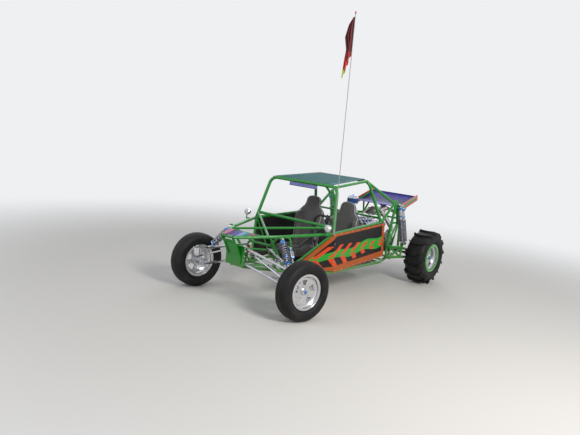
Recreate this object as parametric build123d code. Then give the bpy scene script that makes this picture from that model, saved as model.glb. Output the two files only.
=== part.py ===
"""Dune buggy (sand rail), built piece by piece.

Millimetres. +Z is up, the nose points along -Y and +X is the vehicle's left side. The origin is on
the ground under the middle of the vehicle. A point is written (x, y, z) for the left side, and the
right side is its mirror image. The front wheels rest steered a little to the right.
"""
from build123d import *
import math
import os

os.makedirs("parts", exist_ok=True)

# Wheels and stance
FRONT_AXLE_Y = -1550.0
REAR_AXLE_Y = 1577.0
FRONT_TYRE_R = 345.0
FRONT_TYRE_W = 196.0
REAR_TYRE_R = 400.0
REAR_TYRE_W = 304.0
PADDLE_COUNT = 14
PADDLE_H = 28.0
PADDLE_T = 13.0
PADDLE_CUP = 190.0
RIM_FLANGE_R = 209.5
RIM_BEAD_R = 190.0
RIM_WELL_R = 168.0
RIM_WALL = 7.0
RIM_LIP = 10.0
FRONT_RIM_W = 146.0
REAR_RIM_W = 254.0
FRONT_HUB_Z = FRONT_TYRE_R
FRONT_TRACK_HALF = 874.0
REAR_TRACK_HALF = 803.0
WINDOW_COUNT = 5
HUB_R = 42.0
HUB_HALF = 44.0
SPINDLE_R = 18.0
DISC_T = 14.0
FIT_GAP = 0.3
RING_T = 7.0
RING_R = 206.0
RING_BORE_R = 174.0

# Steering
KINGPIN_OFFSET = 86.0
KINGPIN_X = FRONT_TRACK_HALF - KINGPIN_OFFSET
REST_STEER = -11.4
KINGPIN_TOP_Z = 498.0
KINGPIN_LOW_Z = 300.0
KINGPIN_R = 22.0
KINGPIN_PIN_R = 10.0
BALL_RING_R = 24.0
BALL_RING_H = 26.0
STEERING_ARM = 100.0
STEERING_ARM_Z = 376.0
STEERING_ARM_T = 14.0
ROD_END_R = 15.0
ROD_END_H = 22.0
ROD_END_GAP = 1.5
RACK_Y = FRONT_AXLE_Y - STEERING_ARM
RACK_Z = 618.0
RACK_R = 12.0
RACK_HALF = 210.0
RACK_CASE_HALF = 110.0
RACK_BOX = 44.0
TIE_ROD_R = 10.0
HAND_WHEEL = Vector(290, -410, 905)
HAND_WHEEL_R = 160.0
COLUMN_START = 90.0
COLUMN_END = 560.0
GRIP_R = 14.0
COLUMN_R = 16.0
COLUMN_TILT = 24.0

# Frame tubes, outer radii and bends
MAIN_R = 21.0
RAIL_R = 19.0
BRACE_R = 14.0
PIVOT_R = 10.0
HOOP_BEND = 105.0
RAIL_BEND = 300.0
STUB = 80.0

# Suspension tubes and dampers, outer radii
ARM_R = 15.0
REAR_ARM_R = 20.0
BUSH_R = 20.0
BUSH_W = 46.0
DAMPER_R = 27.0
SPRING_R = 46.0
SHAFT_R = 11.0
EYE_R = 20.0
EYE_W = 30.0
NECK = 15.0
LUG_T = 8.0
PICKUP_Y = -1772.0
PICKUP_T = 8.0

# Sheet panels
PANEL_T = 4.0
PANEL_GAP = 0.6
SHEET_T = 3.0
TOUCH = 0.3
PANEL_LIFT = 0.05
MIRROR_CLAMPS = (-140.0, 180.0)
DECK_FOOT = 0.77
DECK_CROSS = 0.65
SIDE_BRACE = 0.80

# Frame points of the left side
NOSE = Vector(78, -1925, 838)
NOSE_LOW = Vector(88, -1722, 474)
SHOCK_TOP = Vector(365, -1440, 858)
BELT_A = Vector(634, -704, 888)
DASH = Vector(621, -687, 962)
ROOF_F = Vector(534, -572, 1452)
ROOF_R = Vector(442, 314, 1508)
BELT_B = Vector(569, 563, 944)
FLOOR_BEND = Vector(285, -1160, 392)
FLOOR_F = Vector(515, -480, 345)
FLOOR_B = Vector(515, 740, 345)
TOWER_TOP = Vector(560, 956, 1235)
TOWER_BACK = Vector(540, 1098, 903)
PIVOT_LOW = Vector(500, 950, 400)
PIVOT_HIGH = Vector(500, 930, 560)
TAIL_LOW = Vector(190, 1880, 350)
TAIL_MID = Vector(345, 1290, 335)
TAIL_HIGH = Vector(330, 1560, 900)
PICKUP_TOP = Vector(212, -1318, 700)

# Suspension points of the left side
UPPER_FRONT = Vector(96, -1748, 702)
UPPER_REAR = Vector(213, -1318, 655)
LOWER_FRONT = Vector(122, -1742, 510)
LOWER_REAR = Vector(233, -1318, 464)
UPPER_BALL = Vector(KINGPIN_X, FRONT_AXLE_Y, KINGPIN_TOP_Z)
LOWER_BALL = Vector(KINGPIN_X, FRONT_AXLE_Y, KINGPIN_LOW_Z)
SHOCK_EYE = Vector(410, -1440, 840)
SHOCK_LOW = Vector(640, -1548, 543)
HOOK_BEND = Vector(487, -1374, 862)
HOOK_END = Vector(494, -1374, 772)
HOOK_R = 11.0
BYPASS_TOP = Vector(494, -1383, 746)
BYPASS_SHARE = 0.7666
BYPASS_SEAT = Vector(0, 30, 38)
LEG_INSET = 62.0
BYPASS_R = 22.0
BOLT_R = 9.0
REAR_ARM_GAP = 31.0
REAR_ARM_X = REAR_TRACK_HALF - REAR_TYRE_W / 2 - REAR_ARM_GAP - REAR_ARM_R
REAR_HUB = Vector(REAR_ARM_X - 10, REAR_AXLE_Y, REAR_TYRE_R)
REAR_PIVOT_OUT = 46.0
REAR_HUB_LOW = -60.0
REAR_SHOCK_X = REAR_ARM_X + 6
REAR_SHOCK_TOP = Vector(REAR_SHOCK_X, 985, 1168)
REAR_SHOCK_LOW = Vector(REAR_SHOCK_X, 1195, 590)
REAR_SHOCK_PITCH = 82.0
SPRING_TURNS = 7
SPRING_CORE_R = 37.0

# Rear tow eye
TOW_T = 12.0
TOW_R = 28.0
TOW_HOLE_R = 13.0
TOW_Y = 1930.0

# Seats
SEAT_X = 290.0
SEAT_W = 472.0
SEAT_FRONT_Y = -465.0
SEAT_BACK_Y = -10.0
SEAT_Z = 400.0
SEAT_PAD = 90.0
SEAT_BOLSTER = 60.0
SEAT_WING = 82.0
SEAT_SHELL = 58.0
SEAT_RAKE = 9.0
# Columns: share of half the width, height above the seat's base
SEAT_SIDE = [(0.86, 0), (0.92, 300), (1.0, 520), (0.98, 620), (0.58, 712), (0.48, 790), (0.32, 845)]
SEAT_CORNER = 24.0
SEAT_RAIL_OUT = 150.0
SEAT_RAIL_W = 24.0

# Engine and gearbox
ENGINE_FRONT_Y = 660.0
ENGINE_BACK_Y = 1230.0
# Columns: half width, height
ENGINE_SIDE = [(120, 400), (162, 470), (162, 590), (262, 765), (182, 842), (60, 725)]
COVER_W = 100.0
COVER_T = 72.0
COVER_RIBS = 6
PLENUM_TOP_Z = 950.0
RUNNER_R = 19.0
HEADER_R = 19.0
HEADER_COUNT = 4
COLLECTOR_R = 34.0
MUFFLER_R = 70.0
GEARBOX_R = 130.0
GEARBOX_BACK_Y = 1850.0
GEARBOX_FLANGE_X = 150.0
GEARBOX_RIBS = 5

# Wing and whip
WING_HALF = 398.0
WING_FRONT = Vector(0, 1455, 1091)
WING_REAR = Vector(0, 1911, 1226)
WING_LIP = 22.0
END_PLATE_H = 96.0
WING_POST_X = 330.0
FLAG_T = 14.0
# Columns: reach from the pole, drop from the flag's top corner
FLAG_EDGE = [(0, 0), (106, 255), (60, 440), (80, 570), (98, 735), (44, 610), (12, 490), (0, 430)]
FLAG_DROP = 63.0
WHIP_BASE = Vector(662, -738, 890)
WHIP_TOP = Vector(655, -778, 3550)
WHIP_R = 4.5

LAMP = Vector(655, -893, 970)
LAMP_R = 46.0
LAMP_BULGE = 12.0

Z_UP = (Align.CENTER, Align.CENTER, Align.MIN)


def right(point):
    """The same point on the right side."""
    return Vector(-point.X, point.Y, point.Z)


def between(start, end, share):
    """A point on the line from start to end."""
    return start + (end - start) * share


def onward(start, towards, length):
    """The point at that length from start, in the direction of towards."""
    return start + (towards - start).normalized() * length


def rod(start, end, radius):
    """A straight round bar."""
    along = end - start
    return Plane(origin=start, z_dir=along) * Cylinder(radius, along.length, align=Z_UP)


def disc(centre, direction, radius, width):
    """A short round piece about its centre."""
    return Plane(origin=centre, z_dir=direction) * Cylinder(radius, width)


def bent(points, radius, bends):
    """A round tube bent to an arc at each inner point."""
    path = FilletPolyline(*points, radius=bends)
    return sweep(Plane(origin=path @ 0, z_dir=path % 0) * Circle(radius), path=path)


def block(low, high):
    """A box from its lowest to its highest corner."""
    size = high - low
    return Pos(*low) * Box(size.X, size.Y, size.Z, align=(Align.MIN, Align.MIN, Align.MIN))


def join(shapes):
    """One body from shapes that overlap."""
    return shapes[0].fuse(*shapes[1:])


def flip(shape):
    """The same shape on the right side."""
    return mirror(shape, about=Plane.YZ)


def both(shape):
    """A left shape with its right twin."""
    return [shape, flip(shape)]


def turned(profile):
    """A solid turned about the X axis from (along the axis, radius) points."""
    return revolve(make_face(Polyline(*profile, close=True)), Axis.X)


def side_view(points, half_width):
    """A block through the middle from (y, z) points in the side view."""
    outline = make_face(Polyline(*[(0, y, z) for y, z in points], close=True))
    return extrude(outline, half_width, dir=(1, 0, 0), both=True)


def plate(corners, thickness, direction):
    """A flat sheet through its corners, thickened in that direction."""
    return extrude(make_face(Polyline(*corners, close=True)), thickness, dir=direction)


def outward(first, second):
    """The direction square to two others that points to the left."""
    normal = first.cross(second).normalized()
    return normal if normal.X > 0 else normal * -1


def write(node, *shapes):
    """Save one node's solids."""
    solids = [solid for shape in shapes for solid in shape.solids()]
    shape = solids[0] if len(solids) == 1 else Compound(children=solids)
    shape.label = node
    export_step(shape, f"parts/{node}.step")


def coped(shape, *neighbours):
    """A shape cut to the faces of the pieces that it is welded to."""
    for neighbour in neighbours:
        shape = shape - neighbour
    return max(shape.solids(), key=lambda solid: solid.volume)


def lug(foot, eye, axis, side):
    """A tab from a tube to the side face of a damper's eye, with the bolt through the eye."""
    axis = Vector(*axis)
    end = eye + axis * (side * (EYE_W + LUG_T) / 2)
    start = foot - axis * (foot - end).dot(axis)
    along = end - start
    web = Plane(origin=start, x_dir=along, z_dir=axis) * Pos(along.length / 2, 0, 0) * Box(
        along.length, 1.6 * EYE_R, LUG_T
    )
    rounds = [disc(point, axis, EYE_R, LUG_T) for point in (start, end)]
    return join([web] + rounds + [disc(eye, axis, BOLT_R, EYE_W + 2 * LUG_T)])


# Nose frame: belt rails with the damper tabs, hook tubes and lamp stalks
def belt_rails():
    stub = onward(BELT_A, BELT_B, STUB)
    stalk_y = LAMP.Y + LAMP_BULGE
    stalk_foot = Vector(LAMP.X, stalk_y, LAMP.Z - 84)
    hook_start = between(SHOCK_TOP, BELT_A, 0.05)
    left = [
        bent([NOSE, SHOCK_TOP, BELT_A, stub], RAIL_R, [RAIL_BEND, RAIL_BEND]),
        lug(SHOCK_TOP, SHOCK_EYE, (0, 1, 0), 1),
        bent([hook_start, HOOK_BEND, HOOK_END], HOOK_R, 40),
        lug(HOOK_END, BYPASS_TOP, (0, 1, 0), 1),
        rod(Vector(LAMP.X - 92, stalk_y, stalk_foot.Z), stalk_foot + Vector(BOLT_R, 0, 0), BOLT_R),
        rod(stalk_foot, Vector(LAMP.X, stalk_y, LAMP.Z - LAMP_R - TOUCH), BOLT_R * 0.8),
    ]
    across = [rod(point, right(point), BRACE_R) for point in (NOSE, between(NOSE, SHOCK_TOP, DECK_CROSS))]
    return join(left + [flip(shape) for shape in left] + across)


def lower_rails():
    """The nose's lower rails with the uprights at the tip."""
    stub = onward(FLOOR_F, FLOOR_B, STUB)
    left = [
        bent([NOSE_LOW, FLOOR_BEND, FLOOR_F, stub], RAIL_R, [RAIL_BEND, STUB]),
        rod(NOSE, NOSE_LOW, BRACE_R),
    ]
    across = [rod(point, right(point), BRACE_R) for point in (NOSE_LOW, FLOOR_BEND, FLOOR_F)]
    return join(left + [flip(shape) for shape in left] + across)


def front_pickup():
    """The plate, the hoop and the shafts that the front arms turn on, with the rack's stays."""
    foot = between(NOSE_LOW, FLOOR_BEND, 0.72)
    plate_low = Vector(-UPPER_FRONT.X - 44, PICKUP_Y - PICKUP_T, NOSE_LOW.Z + 12)
    left = [
        rod(onward(UPPER_FRONT, UPPER_REAR, -24), UPPER_REAR, PIVOT_R),
        rod(onward(LOWER_FRONT, LOWER_REAR, -28), LOWER_REAR, PIVOT_R),
        rod(SHOCK_TOP, Vector(PICKUP_TOP.X - 70, PICKUP_TOP.Y, PICKUP_TOP.Z), BRACE_R),
    ]
    stays = [
        block(Vector(x - 4, PICKUP_Y - 2, RACK_Z - 18), Vector(x + 4, RACK_Y - RACK_BOX / 2, RACK_Z + 18))
        for x in (-60, 60)
    ]
    middle = [
        bent([foot, PICKUP_TOP, right(PICKUP_TOP), right(foot)], BRACE_R, 60),
        block(plate_low, Vector(-plate_low.X, PICKUP_Y, UPPER_FRONT.Z + 24)),
    ]
    return join(left + [flip(shape) for shape in left] + middle + stays)


def nose_brace():
    """The left side's three braces between the belt rail and the lower rail."""
    return join([
        rod(between(NOSE, SHOCK_TOP, SIDE_BRACE), FLOOR_BEND, BRACE_R),
        rod(BELT_A, FLOOR_BEND, BRACE_R),
        rod(BELT_A, FLOOR_F, BRACE_R),
    ])


def nose_deck():
    """The crossed tubes from the belt rails back to the ends of the dash bar."""
    foot = between(NOSE, SHOCK_TOP, DECK_FOOT)
    return join([rod(foot, right(DASH), BRACE_R), rod(right(foot), DASH, BRACE_R)])


# Floor frame: side rails, cross tubes, the engine bay's lower rails and the tow eye
def floor_frame():
    start = onward(FLOOR_F, FLOOR_B, STUB)
    rail = bent([start, FLOOR_B, TAIL_MID, TAIL_LOW], RAIL_R, [RAIL_BEND, RAIL_BEND])
    across = [
        rod(point, right(point), BRACE_R) for point in (seat_cross(), FLOOR_B, engine_cross(), TAIL_MID, TAIL_LOW)
    ]
    eye = Vector(0, TOW_Y, TAIL_LOW.Z)
    tab = block(
        Vector(-TOW_R, TAIL_LOW.Y, TAIL_LOW.Z - TOW_T / 2), Vector(TOW_R, TOW_Y, TAIL_LOW.Z + TOW_T / 2)
    )
    frame = join([rail, flip(rail)] + across + [tab, disc(eye, (0, 0, 1), TOW_R, TOW_T)])
    return frame - disc(eye, (0, 0, 1), TOW_HOLE_R, 4 * TOW_T)


def seat_cross():
    """The left end of the cross tube under the seats."""
    return between(onward(FLOOR_F, FLOOR_B, STUB), FLOOR_B, 0.45)


def engine_cross():
    """The left end of the cross tube under the engine."""
    return between(FLOOR_B, TAIL_MID, 0.4)


def rear_pivot():
    """The post beside the engine with the pins that the rear arm turns on."""
    pin_end = Vector(REAR_PIVOT_OUT + BUSH_W / 2 + 6, 0, 0)
    pins = [rod(pivot, pivot + pin_end, BOLT_R) for pivot in (PIVOT_LOW, PIVOT_HIGH)]
    return join([rod(PIVOT_LOW, PIVOT_HIGH, RAIL_R), rod(engine_cross(), PIVOT_LOW, RAIL_R)] + pins)


# Roll cage: front hoop, rear hoop, roof bars, dash bar and the belt rails beside the seats
def roll_cage():
    front = bent([BELT_A, ROOF_F, right(ROOF_F), right(BELT_A)], MAIN_R, HOOP_BEND)
    rear = bent([BELT_B, ROOF_R, right(ROOF_R), right(BELT_B)], MAIN_R, HOOP_BEND)
    drop = HOOP_BEND * 0.3
    roof_front = Vector(ROOF_F.X - drop, ROOF_F.Y, ROOF_F.Z - 3)
    roof_rear = Vector(ROOF_R.X - drop, ROOF_R.Y, ROOF_R.Z - 3)
    brace_end = between(BELT_B, TOWER_TOP, 0.86)
    side = [
        rod(roof_front, roof_rear, RAIL_R),
        rod(roof_rear, brace_end, RAIL_R),
        rod(onward(BELT_A, BELT_B, STUB), BELT_B, RAIL_R),
        rod(BELT_B, TOWER_TOP, RAIL_R),
    ]
    shoulder = between(BELT_B, ROOF_R, 0.11)
    across = [rod(DASH, right(DASH), RAIL_R), rod(shoulder, right(shoulder), BRACE_R)]
    return join([front, rear] + side + [flip(shape) for shape in side] + across)


def rear_shock_tops():
    """The upper eyes of one side's two rear dampers."""
    return [REAR_SHOCK_TOP, REAR_SHOCK_TOP + Vector(0, REAR_SHOCK_PITCH, -REAR_SHOCK_PITCH / 4)]


# Rear frame: shock towers, engine bay uprights, upper rails and the wing's posts
def rear_frame():
    bolts = []
    for eye in rear_shock_tops():
        share = (TOWER_TOP.Z - eye.Z) / (TOWER_TOP.Z - TOWER_BACK.Z)
        tube = between(TOWER_TOP, TOWER_BACK, share)
        bolts.append(rod(tube, Vector(tube.X, eye.Y, eye.Z), LUG_T * 1.5))
        bolts.append(rod(Vector(tube.X, eye.Y, eye.Z), eye + Vector(EYE_W / 2 + 8, 0, 0), BOLT_R))
    tower_bar = Vector(522, 941, TOWER_BACK.Z)
    side = [
        rod(TOWER_TOP, PIVOT_HIGH, RAIL_R),
        rod(TOWER_TOP, TOWER_BACK, RAIL_R),
        rod(TOWER_BACK, tower_bar, BRACE_R),
        rod(TOWER_BACK, TAIL_HIGH, RAIL_R),
        rod(TOWER_BACK, PIVOT_HIGH, BRACE_R),
        rod(TAIL_HIGH, TAIL_LOW, RAIL_R),
        rod(TAIL_HIGH, TAIL_MID, BRACE_R),
        rod(TAIL_HIGH, between(WING_FRONT, WING_REAR, 0.16) + Vector(WING_POST_X, 0, 0), BRACE_R),
        rod(TAIL_HIGH, between(WING_FRONT, WING_REAR, 0.80) + Vector(WING_POST_X, 0, 0), BRACE_R),
    ] + bolts
    across = [rod(TAIL_HIGH, right(TAIL_HIGH), BRACE_R)]
    return join(side + [flip(shape) for shape in side] + across)


# Sheet metal: bulkhead, floor, roof, nose top and side panels
def bulkhead():
    outer = [(-1950, 812), (-1880, 760), (-1806, 640), (-1790, 520), (-1752, 452), (-1700, 436)]
    inner = [(y + 5, z + 2) for y, z in reversed(outer)]
    return side_view(outer + inner, NOSE_LOW.X + BRACE_R)


def floor_pan():
    top = FLOOR_F.Z - RAIL_R - TOUCH
    points = (FLOOR_F, FLOOR_B, right(FLOOR_B), right(FLOOR_F))
    return plate([(p.X, p.Y, top) for p in points], SHEET_T, (0, 0, -1))


def roof_panel():
    inset = Vector(HOOP_BEND * 0.6, 0, -MAIN_R - TOUCH)
    left = [ROOF_F - inset, ROOF_R - inset]
    points = left + [right(p) for p in reversed(left)]
    return plate(points, SHEET_T, (0, 0, 1))


def nose_panel():
    lift = RAIL_R + TOUCH
    back = between(NOSE, SHOCK_TOP, 0.55)
    corners = [(p.X, p.Y, p.Z + lift) for p in (NOSE, back, right(back), right(NOSE))]
    return plate(corners, SHEET_T, (0, 0, 1))


def side_panel():
    """The painted panel beside the seats, with the triangle that turns in towards the nose."""
    out = Vector(RAIL_R + PANEL_GAP, 0, 0)
    top_front, low_front, top_rear, low_rear = [p + out for p in (BELT_A, FLOOR_F, BELT_B, FLOOR_B)]
    sections = []
    for top, low, y in ((top_front, low_front, BELT_A.Y), (top_rear, low_rear, FLOOR_B.Y + 60)):
        ring = [(top.X, top.Z), (low.X, low.Z), (low.X + PANEL_T, low.Z), (top.X + PANEL_T, top.Z)]
        sections.append(make_face(Polyline(*[(x, y, z) for x, z in ring], close=True)))
    slab = loft(sections, ruled=True)
    outline = [
        (BELT_A.Y, BELT_A.Z + 8),
        (BELT_B.Y + 47, BELT_B.Z + 8),
        (FLOOR_B.Y + 33, FLOOR_B.Z + 95),
        (FLOOR_F.Y, FLOOR_F.Z),
    ]
    main = slab & side_view(outline, 900)
    low = between(low_front, top_front, PANEL_LIFT)
    corner = between(FLOOR_BEND, FLOOR_F, 0.06)
    nose = corner + outward(low - top_front, corner - top_front) * (RAIL_R + PANEL_GAP) + Vector(0, 0, RAIL_R)
    wedge = plate([top_front, low, nose], PANEL_T, outward(low - top_front, nose - top_front))
    seam = rod(low, top_front, PANEL_T / 2)
    return join([main, wedge, seam])


def mirror_strip():
    centre = Vector(20, ROOF_F.Y - MAIN_R - 8, ROOF_F.Z - 42)
    clamps = [
        block(Vector(x - 8, centre.Y, centre.Z), Vector(x + 8, ROOF_F.Y, ROOF_F.Z)) for x in MIRROR_CLAMPS
    ]
    return join([Pos(*centre) * Box(440, 12, 46)] + clamps)


def lamp():
    """A round lamp on its stalk beside the windscreen pillar."""
    shell = turned([(0, 0), (0, LAMP_R - 8), (LAMP_BULGE, LAMP_R), (44, LAMP_R * 0.86), (66, 16), (66, 0)])
    return Pos(*LAMP) * Rot(0, 0, 90) * shell


# Seats
def seat():
    """A bucket seat, wide at the shoulders and narrow at the head, hollowed for the rider."""
    half = SEAT_W / 2
    low_half = half * SEAT_SIDE[0][0]
    left = [(half * share, SEAT_Z + height) for share, height in SEAT_SIDE]
    outline = left + [(-x, z) for x, z in reversed(left)]
    plane = Plane(origin=(0, SEAT_BACK_Y + SEAT_SHELL, 0), x_dir=(1, 0, 0), z_dir=(0, -1, 0))
    back = extrude(plane * make_face(FilletPolyline(*outline, radius=SEAT_CORNER, close=True)), SEAT_SHELL + SEAT_WING)
    inner = [(x - SEAT_BOLSTER, z) for x, z in left[:4]] + [(SEAT_W, left[4][1]), (SEAT_W, SEAT_Z + SEAT_W * 2)]
    inner = inner + [(-x, z) for x, z in reversed(inner)]
    hollow = extrude(Pos(0, -SEAT_SHELL, 0) * (plane * make_face(Polyline(*inner, close=True))), 2 * SEAT_WING)
    back = (back - hollow).rotate(Axis((0, SEAT_BACK_Y, SEAT_Z), (1, 0, 0)), -SEAT_RAKE)
    below = Pos(0, SEAT_BACK_Y, SEAT_Z) * Box(2 * SEAT_W, SEAT_W, SEAT_W, align=(Align.CENTER, Align.CENTER, Align.MAX))
    pad_top = SEAT_Z + SEAT_PAD
    cushion = block(
        Vector(-low_half, SEAT_FRONT_Y, SEAT_Z), Vector(low_half, SEAT_BACK_Y + SEAT_SHELL, pad_top + SEAT_BOLSTER)
    )
    room = block(
        Vector(SEAT_BOLSTER - low_half, SEAT_FRONT_Y - 1, pad_top),
        Vector(low_half - SEAT_BOLSTER, SEAT_BACK_Y + SEAT_SHELL + 1, pad_top + 2 * SEAT_BOLSTER),
    )
    return Pos(SEAT_X, 0, 0) * join([back - below, cushion - room])


def seat_rails():
    """The two rails that carry a seat, laid on the floor frame's cross tubes."""
    low = FLOOR_F.Z + BRACE_R + TOUCH
    half = SEAT_RAIL_W / 2
    return [
        block(Vector(x - half, FLOOR_F.Y - half, low), Vector(x + half, seat_cross().Y + half, SEAT_Z - TOUCH))
        for x in (SEAT_X - SEAT_RAIL_OUT, SEAT_X + SEAT_RAIL_OUT)
    ]


def shift_lever():
    """The gear lever on its box between the seats."""
    floor = FLOOR_F.Z - RAIL_R - TOUCH
    top = Vector(0, -190, 640)
    return join([
        block(Vector(-35, -210, floor), Vector(35, -50, floor + 60)),
        rod(Vector(0, -130, floor + 40), top, 8),
        Pos(*top) * Sphere(24),
    ])


def pedal(x):
    """A foot pedal that stands on the nose's lower cross tube."""
    foot = Vector(x, FLOOR_BEND.Y, FLOOR_BEND.Z)
    top = foot + Vector(0, 70, 190)
    pad = Pos(*top) * Rot(20, 0, 0) * Box(60, 8, 90)
    return join([rod(foot, top, 9), disc(foot, (1, 0, 0), BRACE_R + 8, 30), pad])


# Front suspension
def front_arm(front, rear, ball):
    """A two-legged arm from its pivot shaft to the ring on the kingpin."""
    axis = rear - front
    front_leg = onward(front, rear, 26)
    rear_leg = onward(rear, front, LEG_INSET)
    legs = [
        rod(front_leg, ball, ARM_R),
        rod(rear_leg, ball, ARM_R),
        rod(between(front_leg, ball, 0.45), between(rear_leg, ball, 0.45), ARM_R * 0.8),
        disc(front_leg, axis, BUSH_R, BUSH_W),
        disc(rear_leg, axis, BUSH_R, BUSH_W),
        disc(ball, (0, 0, 1), BALL_RING_R, BALL_RING_H),
    ]
    shaft = rod(onward(front, rear, -60), onward(rear, front, -60), PIVOT_R + FIT_GAP)
    bore = disc(ball, (0, 0, 1), KINGPIN_PIN_R + FIT_GAP, 4 * BALL_RING_H)
    swing = disc(ball, (0, 0, 1), KINGPIN_R + 6, 6 * BALL_RING_H) - disc(ball, (0, 0, 1), KINGPIN_R + 7, BALL_RING_H)
    arm = join(legs) - shaft - bore - swing
    return max(arm.solids(), key=lambda solid: solid.volume)


def upper_arm():
    """The upper arm with the bolts that carry the two dampers."""
    arm = front_arm(UPPER_FRONT, UPPER_REAR, UPPER_BALL)
    shock_bolt = rod(SHOCK_LOW - Vector(0, 38, 0), SHOCK_LOW + Vector(0, 38, 0), BOLT_R)
    return join([arm, shock_bolt, lug(bypass_leg(), bypass_low(), (0, 1, 0), -1)])


def bypass_leg():
    """The point of the upper arm's rear leg under the second damper."""
    return between(onward(UPPER_REAR, UPPER_FRONT, LEG_INSET), UPPER_BALL, BYPASS_SHARE)


def bypass_low():
    """The second damper's lower eye."""
    return bypass_leg() + BYPASS_SEAT


def damper(top, low, axis, split_share, body_r, coiled):
    """A damper: eyes, body, shaft and, where coiled, the spring's coils on its seats."""
    split = between(top, low, split_share)
    neck = onward(top, low, EYE_R + NECK)
    pieces = [
        disc(top, axis, EYE_R, EYE_W),
        disc(low, axis, EYE_R, EYE_W),
        rod(top, neck, SHAFT_R),
        rod(neck, split, body_r),
        rod(split, low, SHAFT_R),
    ]
    if coiled:
        first, last = between(top, low, 0.16), between(top, low, 0.80)
        pieces.append(rod(first, last, SPRING_CORE_R))
        pitch = (last - first) / (SPRING_TURNS - 0.5)
        pieces += [rod(first + pitch * turn, first + pitch * (turn + 0.5), SPRING_R) for turn in range(SPRING_TURNS)]
    bores = [disc(eye, axis, BOLT_R + FIT_GAP, 2 * EYE_W) for eye in (top, low)]
    return join(pieces).cut(*bores)


def knuckle():
    """The upright, its kingpin pins, the spindle and the steering arm, wheels straight ahead."""
    x, y = KINGPIN_X, FRONT_AXLE_Y
    low = KINGPIN_LOW_Z + BALL_RING_H / 2 + FIT_GAP
    high = KINGPIN_TOP_Z - BALL_RING_H / 2 - FIT_GAP
    pin_reach = BALL_RING_H + 6
    hub_face = FRONT_TRACK_HALF - HUB_HALF
    arm_end = Vector(x, y - STEERING_ARM, STEERING_ARM_Z)
    half_t = Vector(12, 0, STEERING_ARM_T / 2)
    centre = Vector(x, y, FRONT_HUB_Z)
    return join([
        Pos(x, y, low) * Cylinder(KINGPIN_R, high - low, align=Z_UP),
        Pos(x, y, low - pin_reach) * Cylinder(KINGPIN_PIN_R, high - low + 2 * pin_reach, align=Z_UP),
        rod(centre, Vector(hub_face + 2 * HUB_HALF - 14, y, FRONT_HUB_Z), SPINDLE_R),
        rod(centre, Vector(hub_face - 2, y, FRONT_HUB_Z), SPINDLE_R + 10),
        block(arm_end - half_t, Vector(x, y, STEERING_ARM_Z) + half_t),
        disc(arm_end, (0, 0, 1), ROD_END_R, STEERING_ARM_T),
    ])


def steered(shape, side):
    """A front wheel piece turned to its place at rest about the kingpin of that side."""
    placed = shape if side > 0 else flip(shape)
    return placed.rotate(Axis((side * KINGPIN_X, FRONT_AXLE_Y, 0), (0, 0, 1)), REST_STEER)


# Steering gear
def rod_end(side):
    """The middle of a tie rod's outer end, above the steering arm at rest."""
    angle = math.radians(REST_STEER)
    x = side * KINGPIN_X + STEERING_ARM * math.sin(angle)
    y = FRONT_AXLE_Y - STEERING_ARM * math.cos(angle)
    return Vector(x, y, STEERING_ARM_Z + STEERING_ARM_T / 2 + ROD_END_GAP + ROD_END_H / 2)


def steering_rack():
    shift = STEERING_ARM * math.sin(math.radians(REST_STEER))
    pieces = []
    inner = [Vector(shift + side * RACK_HALF, RACK_Y, RACK_Z) for side in (1, -1)]
    pieces.append(rod(inner[1], inner[0], RACK_R))
    for side, start in zip((1, -1), inner):
        end = rod_end(side)
        pieces.append(disc(start, (1, 0, 0), RACK_R + 7, 40))
        pieces.append(rod(start, end, TIE_ROD_R))
        pieces.append(disc(end, (0, 0, 1), ROD_END_R, ROD_END_H))
    return join(pieces)


def rack_housing():
    case = Pos(0, RACK_Y, RACK_Z) * Box(2 * RACK_CASE_HALF, RACK_BOX, RACK_BOX)
    return case - disc(Vector(0, RACK_Y, RACK_Z), (1, 0, 0), RACK_R + FIT_GAP, 4 * RACK_CASE_HALF)


def column_point(length):
    """A point on the steering shaft's line, that far in front of the hand wheel."""
    tilt = math.radians(COLUMN_TILT)
    return HAND_WHEEL - Vector(0, math.cos(tilt), math.sin(tilt)) * length


def steering_wheel():
    axis = HAND_WHEEL - column_point(100)
    plane = Plane(origin=HAND_WHEEL, x_dir=(1, 0, 0), z_dir=axis)
    spokes = [plane * Rot(0, 0, angle) * Pos(HAND_WHEEL_R / 2, 0, 0) * Box(HAND_WHEEL_R, 26, 5) for angle in (0, 180, 270)]
    return join([
        plane * Torus(HAND_WHEEL_R, GRIP_R),
        plane * Cylinder(34, 26),
        rod(HAND_WHEEL, column_point(COLUMN_START + 200), SHAFT_R),
    ] + spokes)


def steering_column():
    """The fixed sleeve under the dash bar, its hanger and the lower shaft to the rack."""
    start, end = column_point(COLUMN_START), column_point(COLUMN_END)
    joint = Vector(55, RACK_Y + RACK_BOX / 2, RACK_Z)
    hanger_top = Vector(HAND_WHEEL.X, DASH.Y, DASH.Z - RAIL_R - TOUCH)
    share = (HAND_WHEEL.Y - DASH.Y) / math.cos(math.radians(COLUMN_TILT))
    hanger = block(
        Vector(HAND_WHEEL.X - 15, DASH.Y - 5, column_point(share).Z), Vector(HAND_WHEEL.X + 15, DASH.Y + 5, hanger_top.Z)
    )
    sleeve = rod(start, end, COLUMN_R)
    bore = rod(HAND_WHEEL, column_point(COLUMN_START + 210), SHAFT_R + FIT_GAP)
    lower = rod(onward(end, start, 6), joint + Vector(0, TOUCH, 0), SHAFT_R)
    return join([sleeve, hanger, lower]) - bore - rack_housing()


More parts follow.
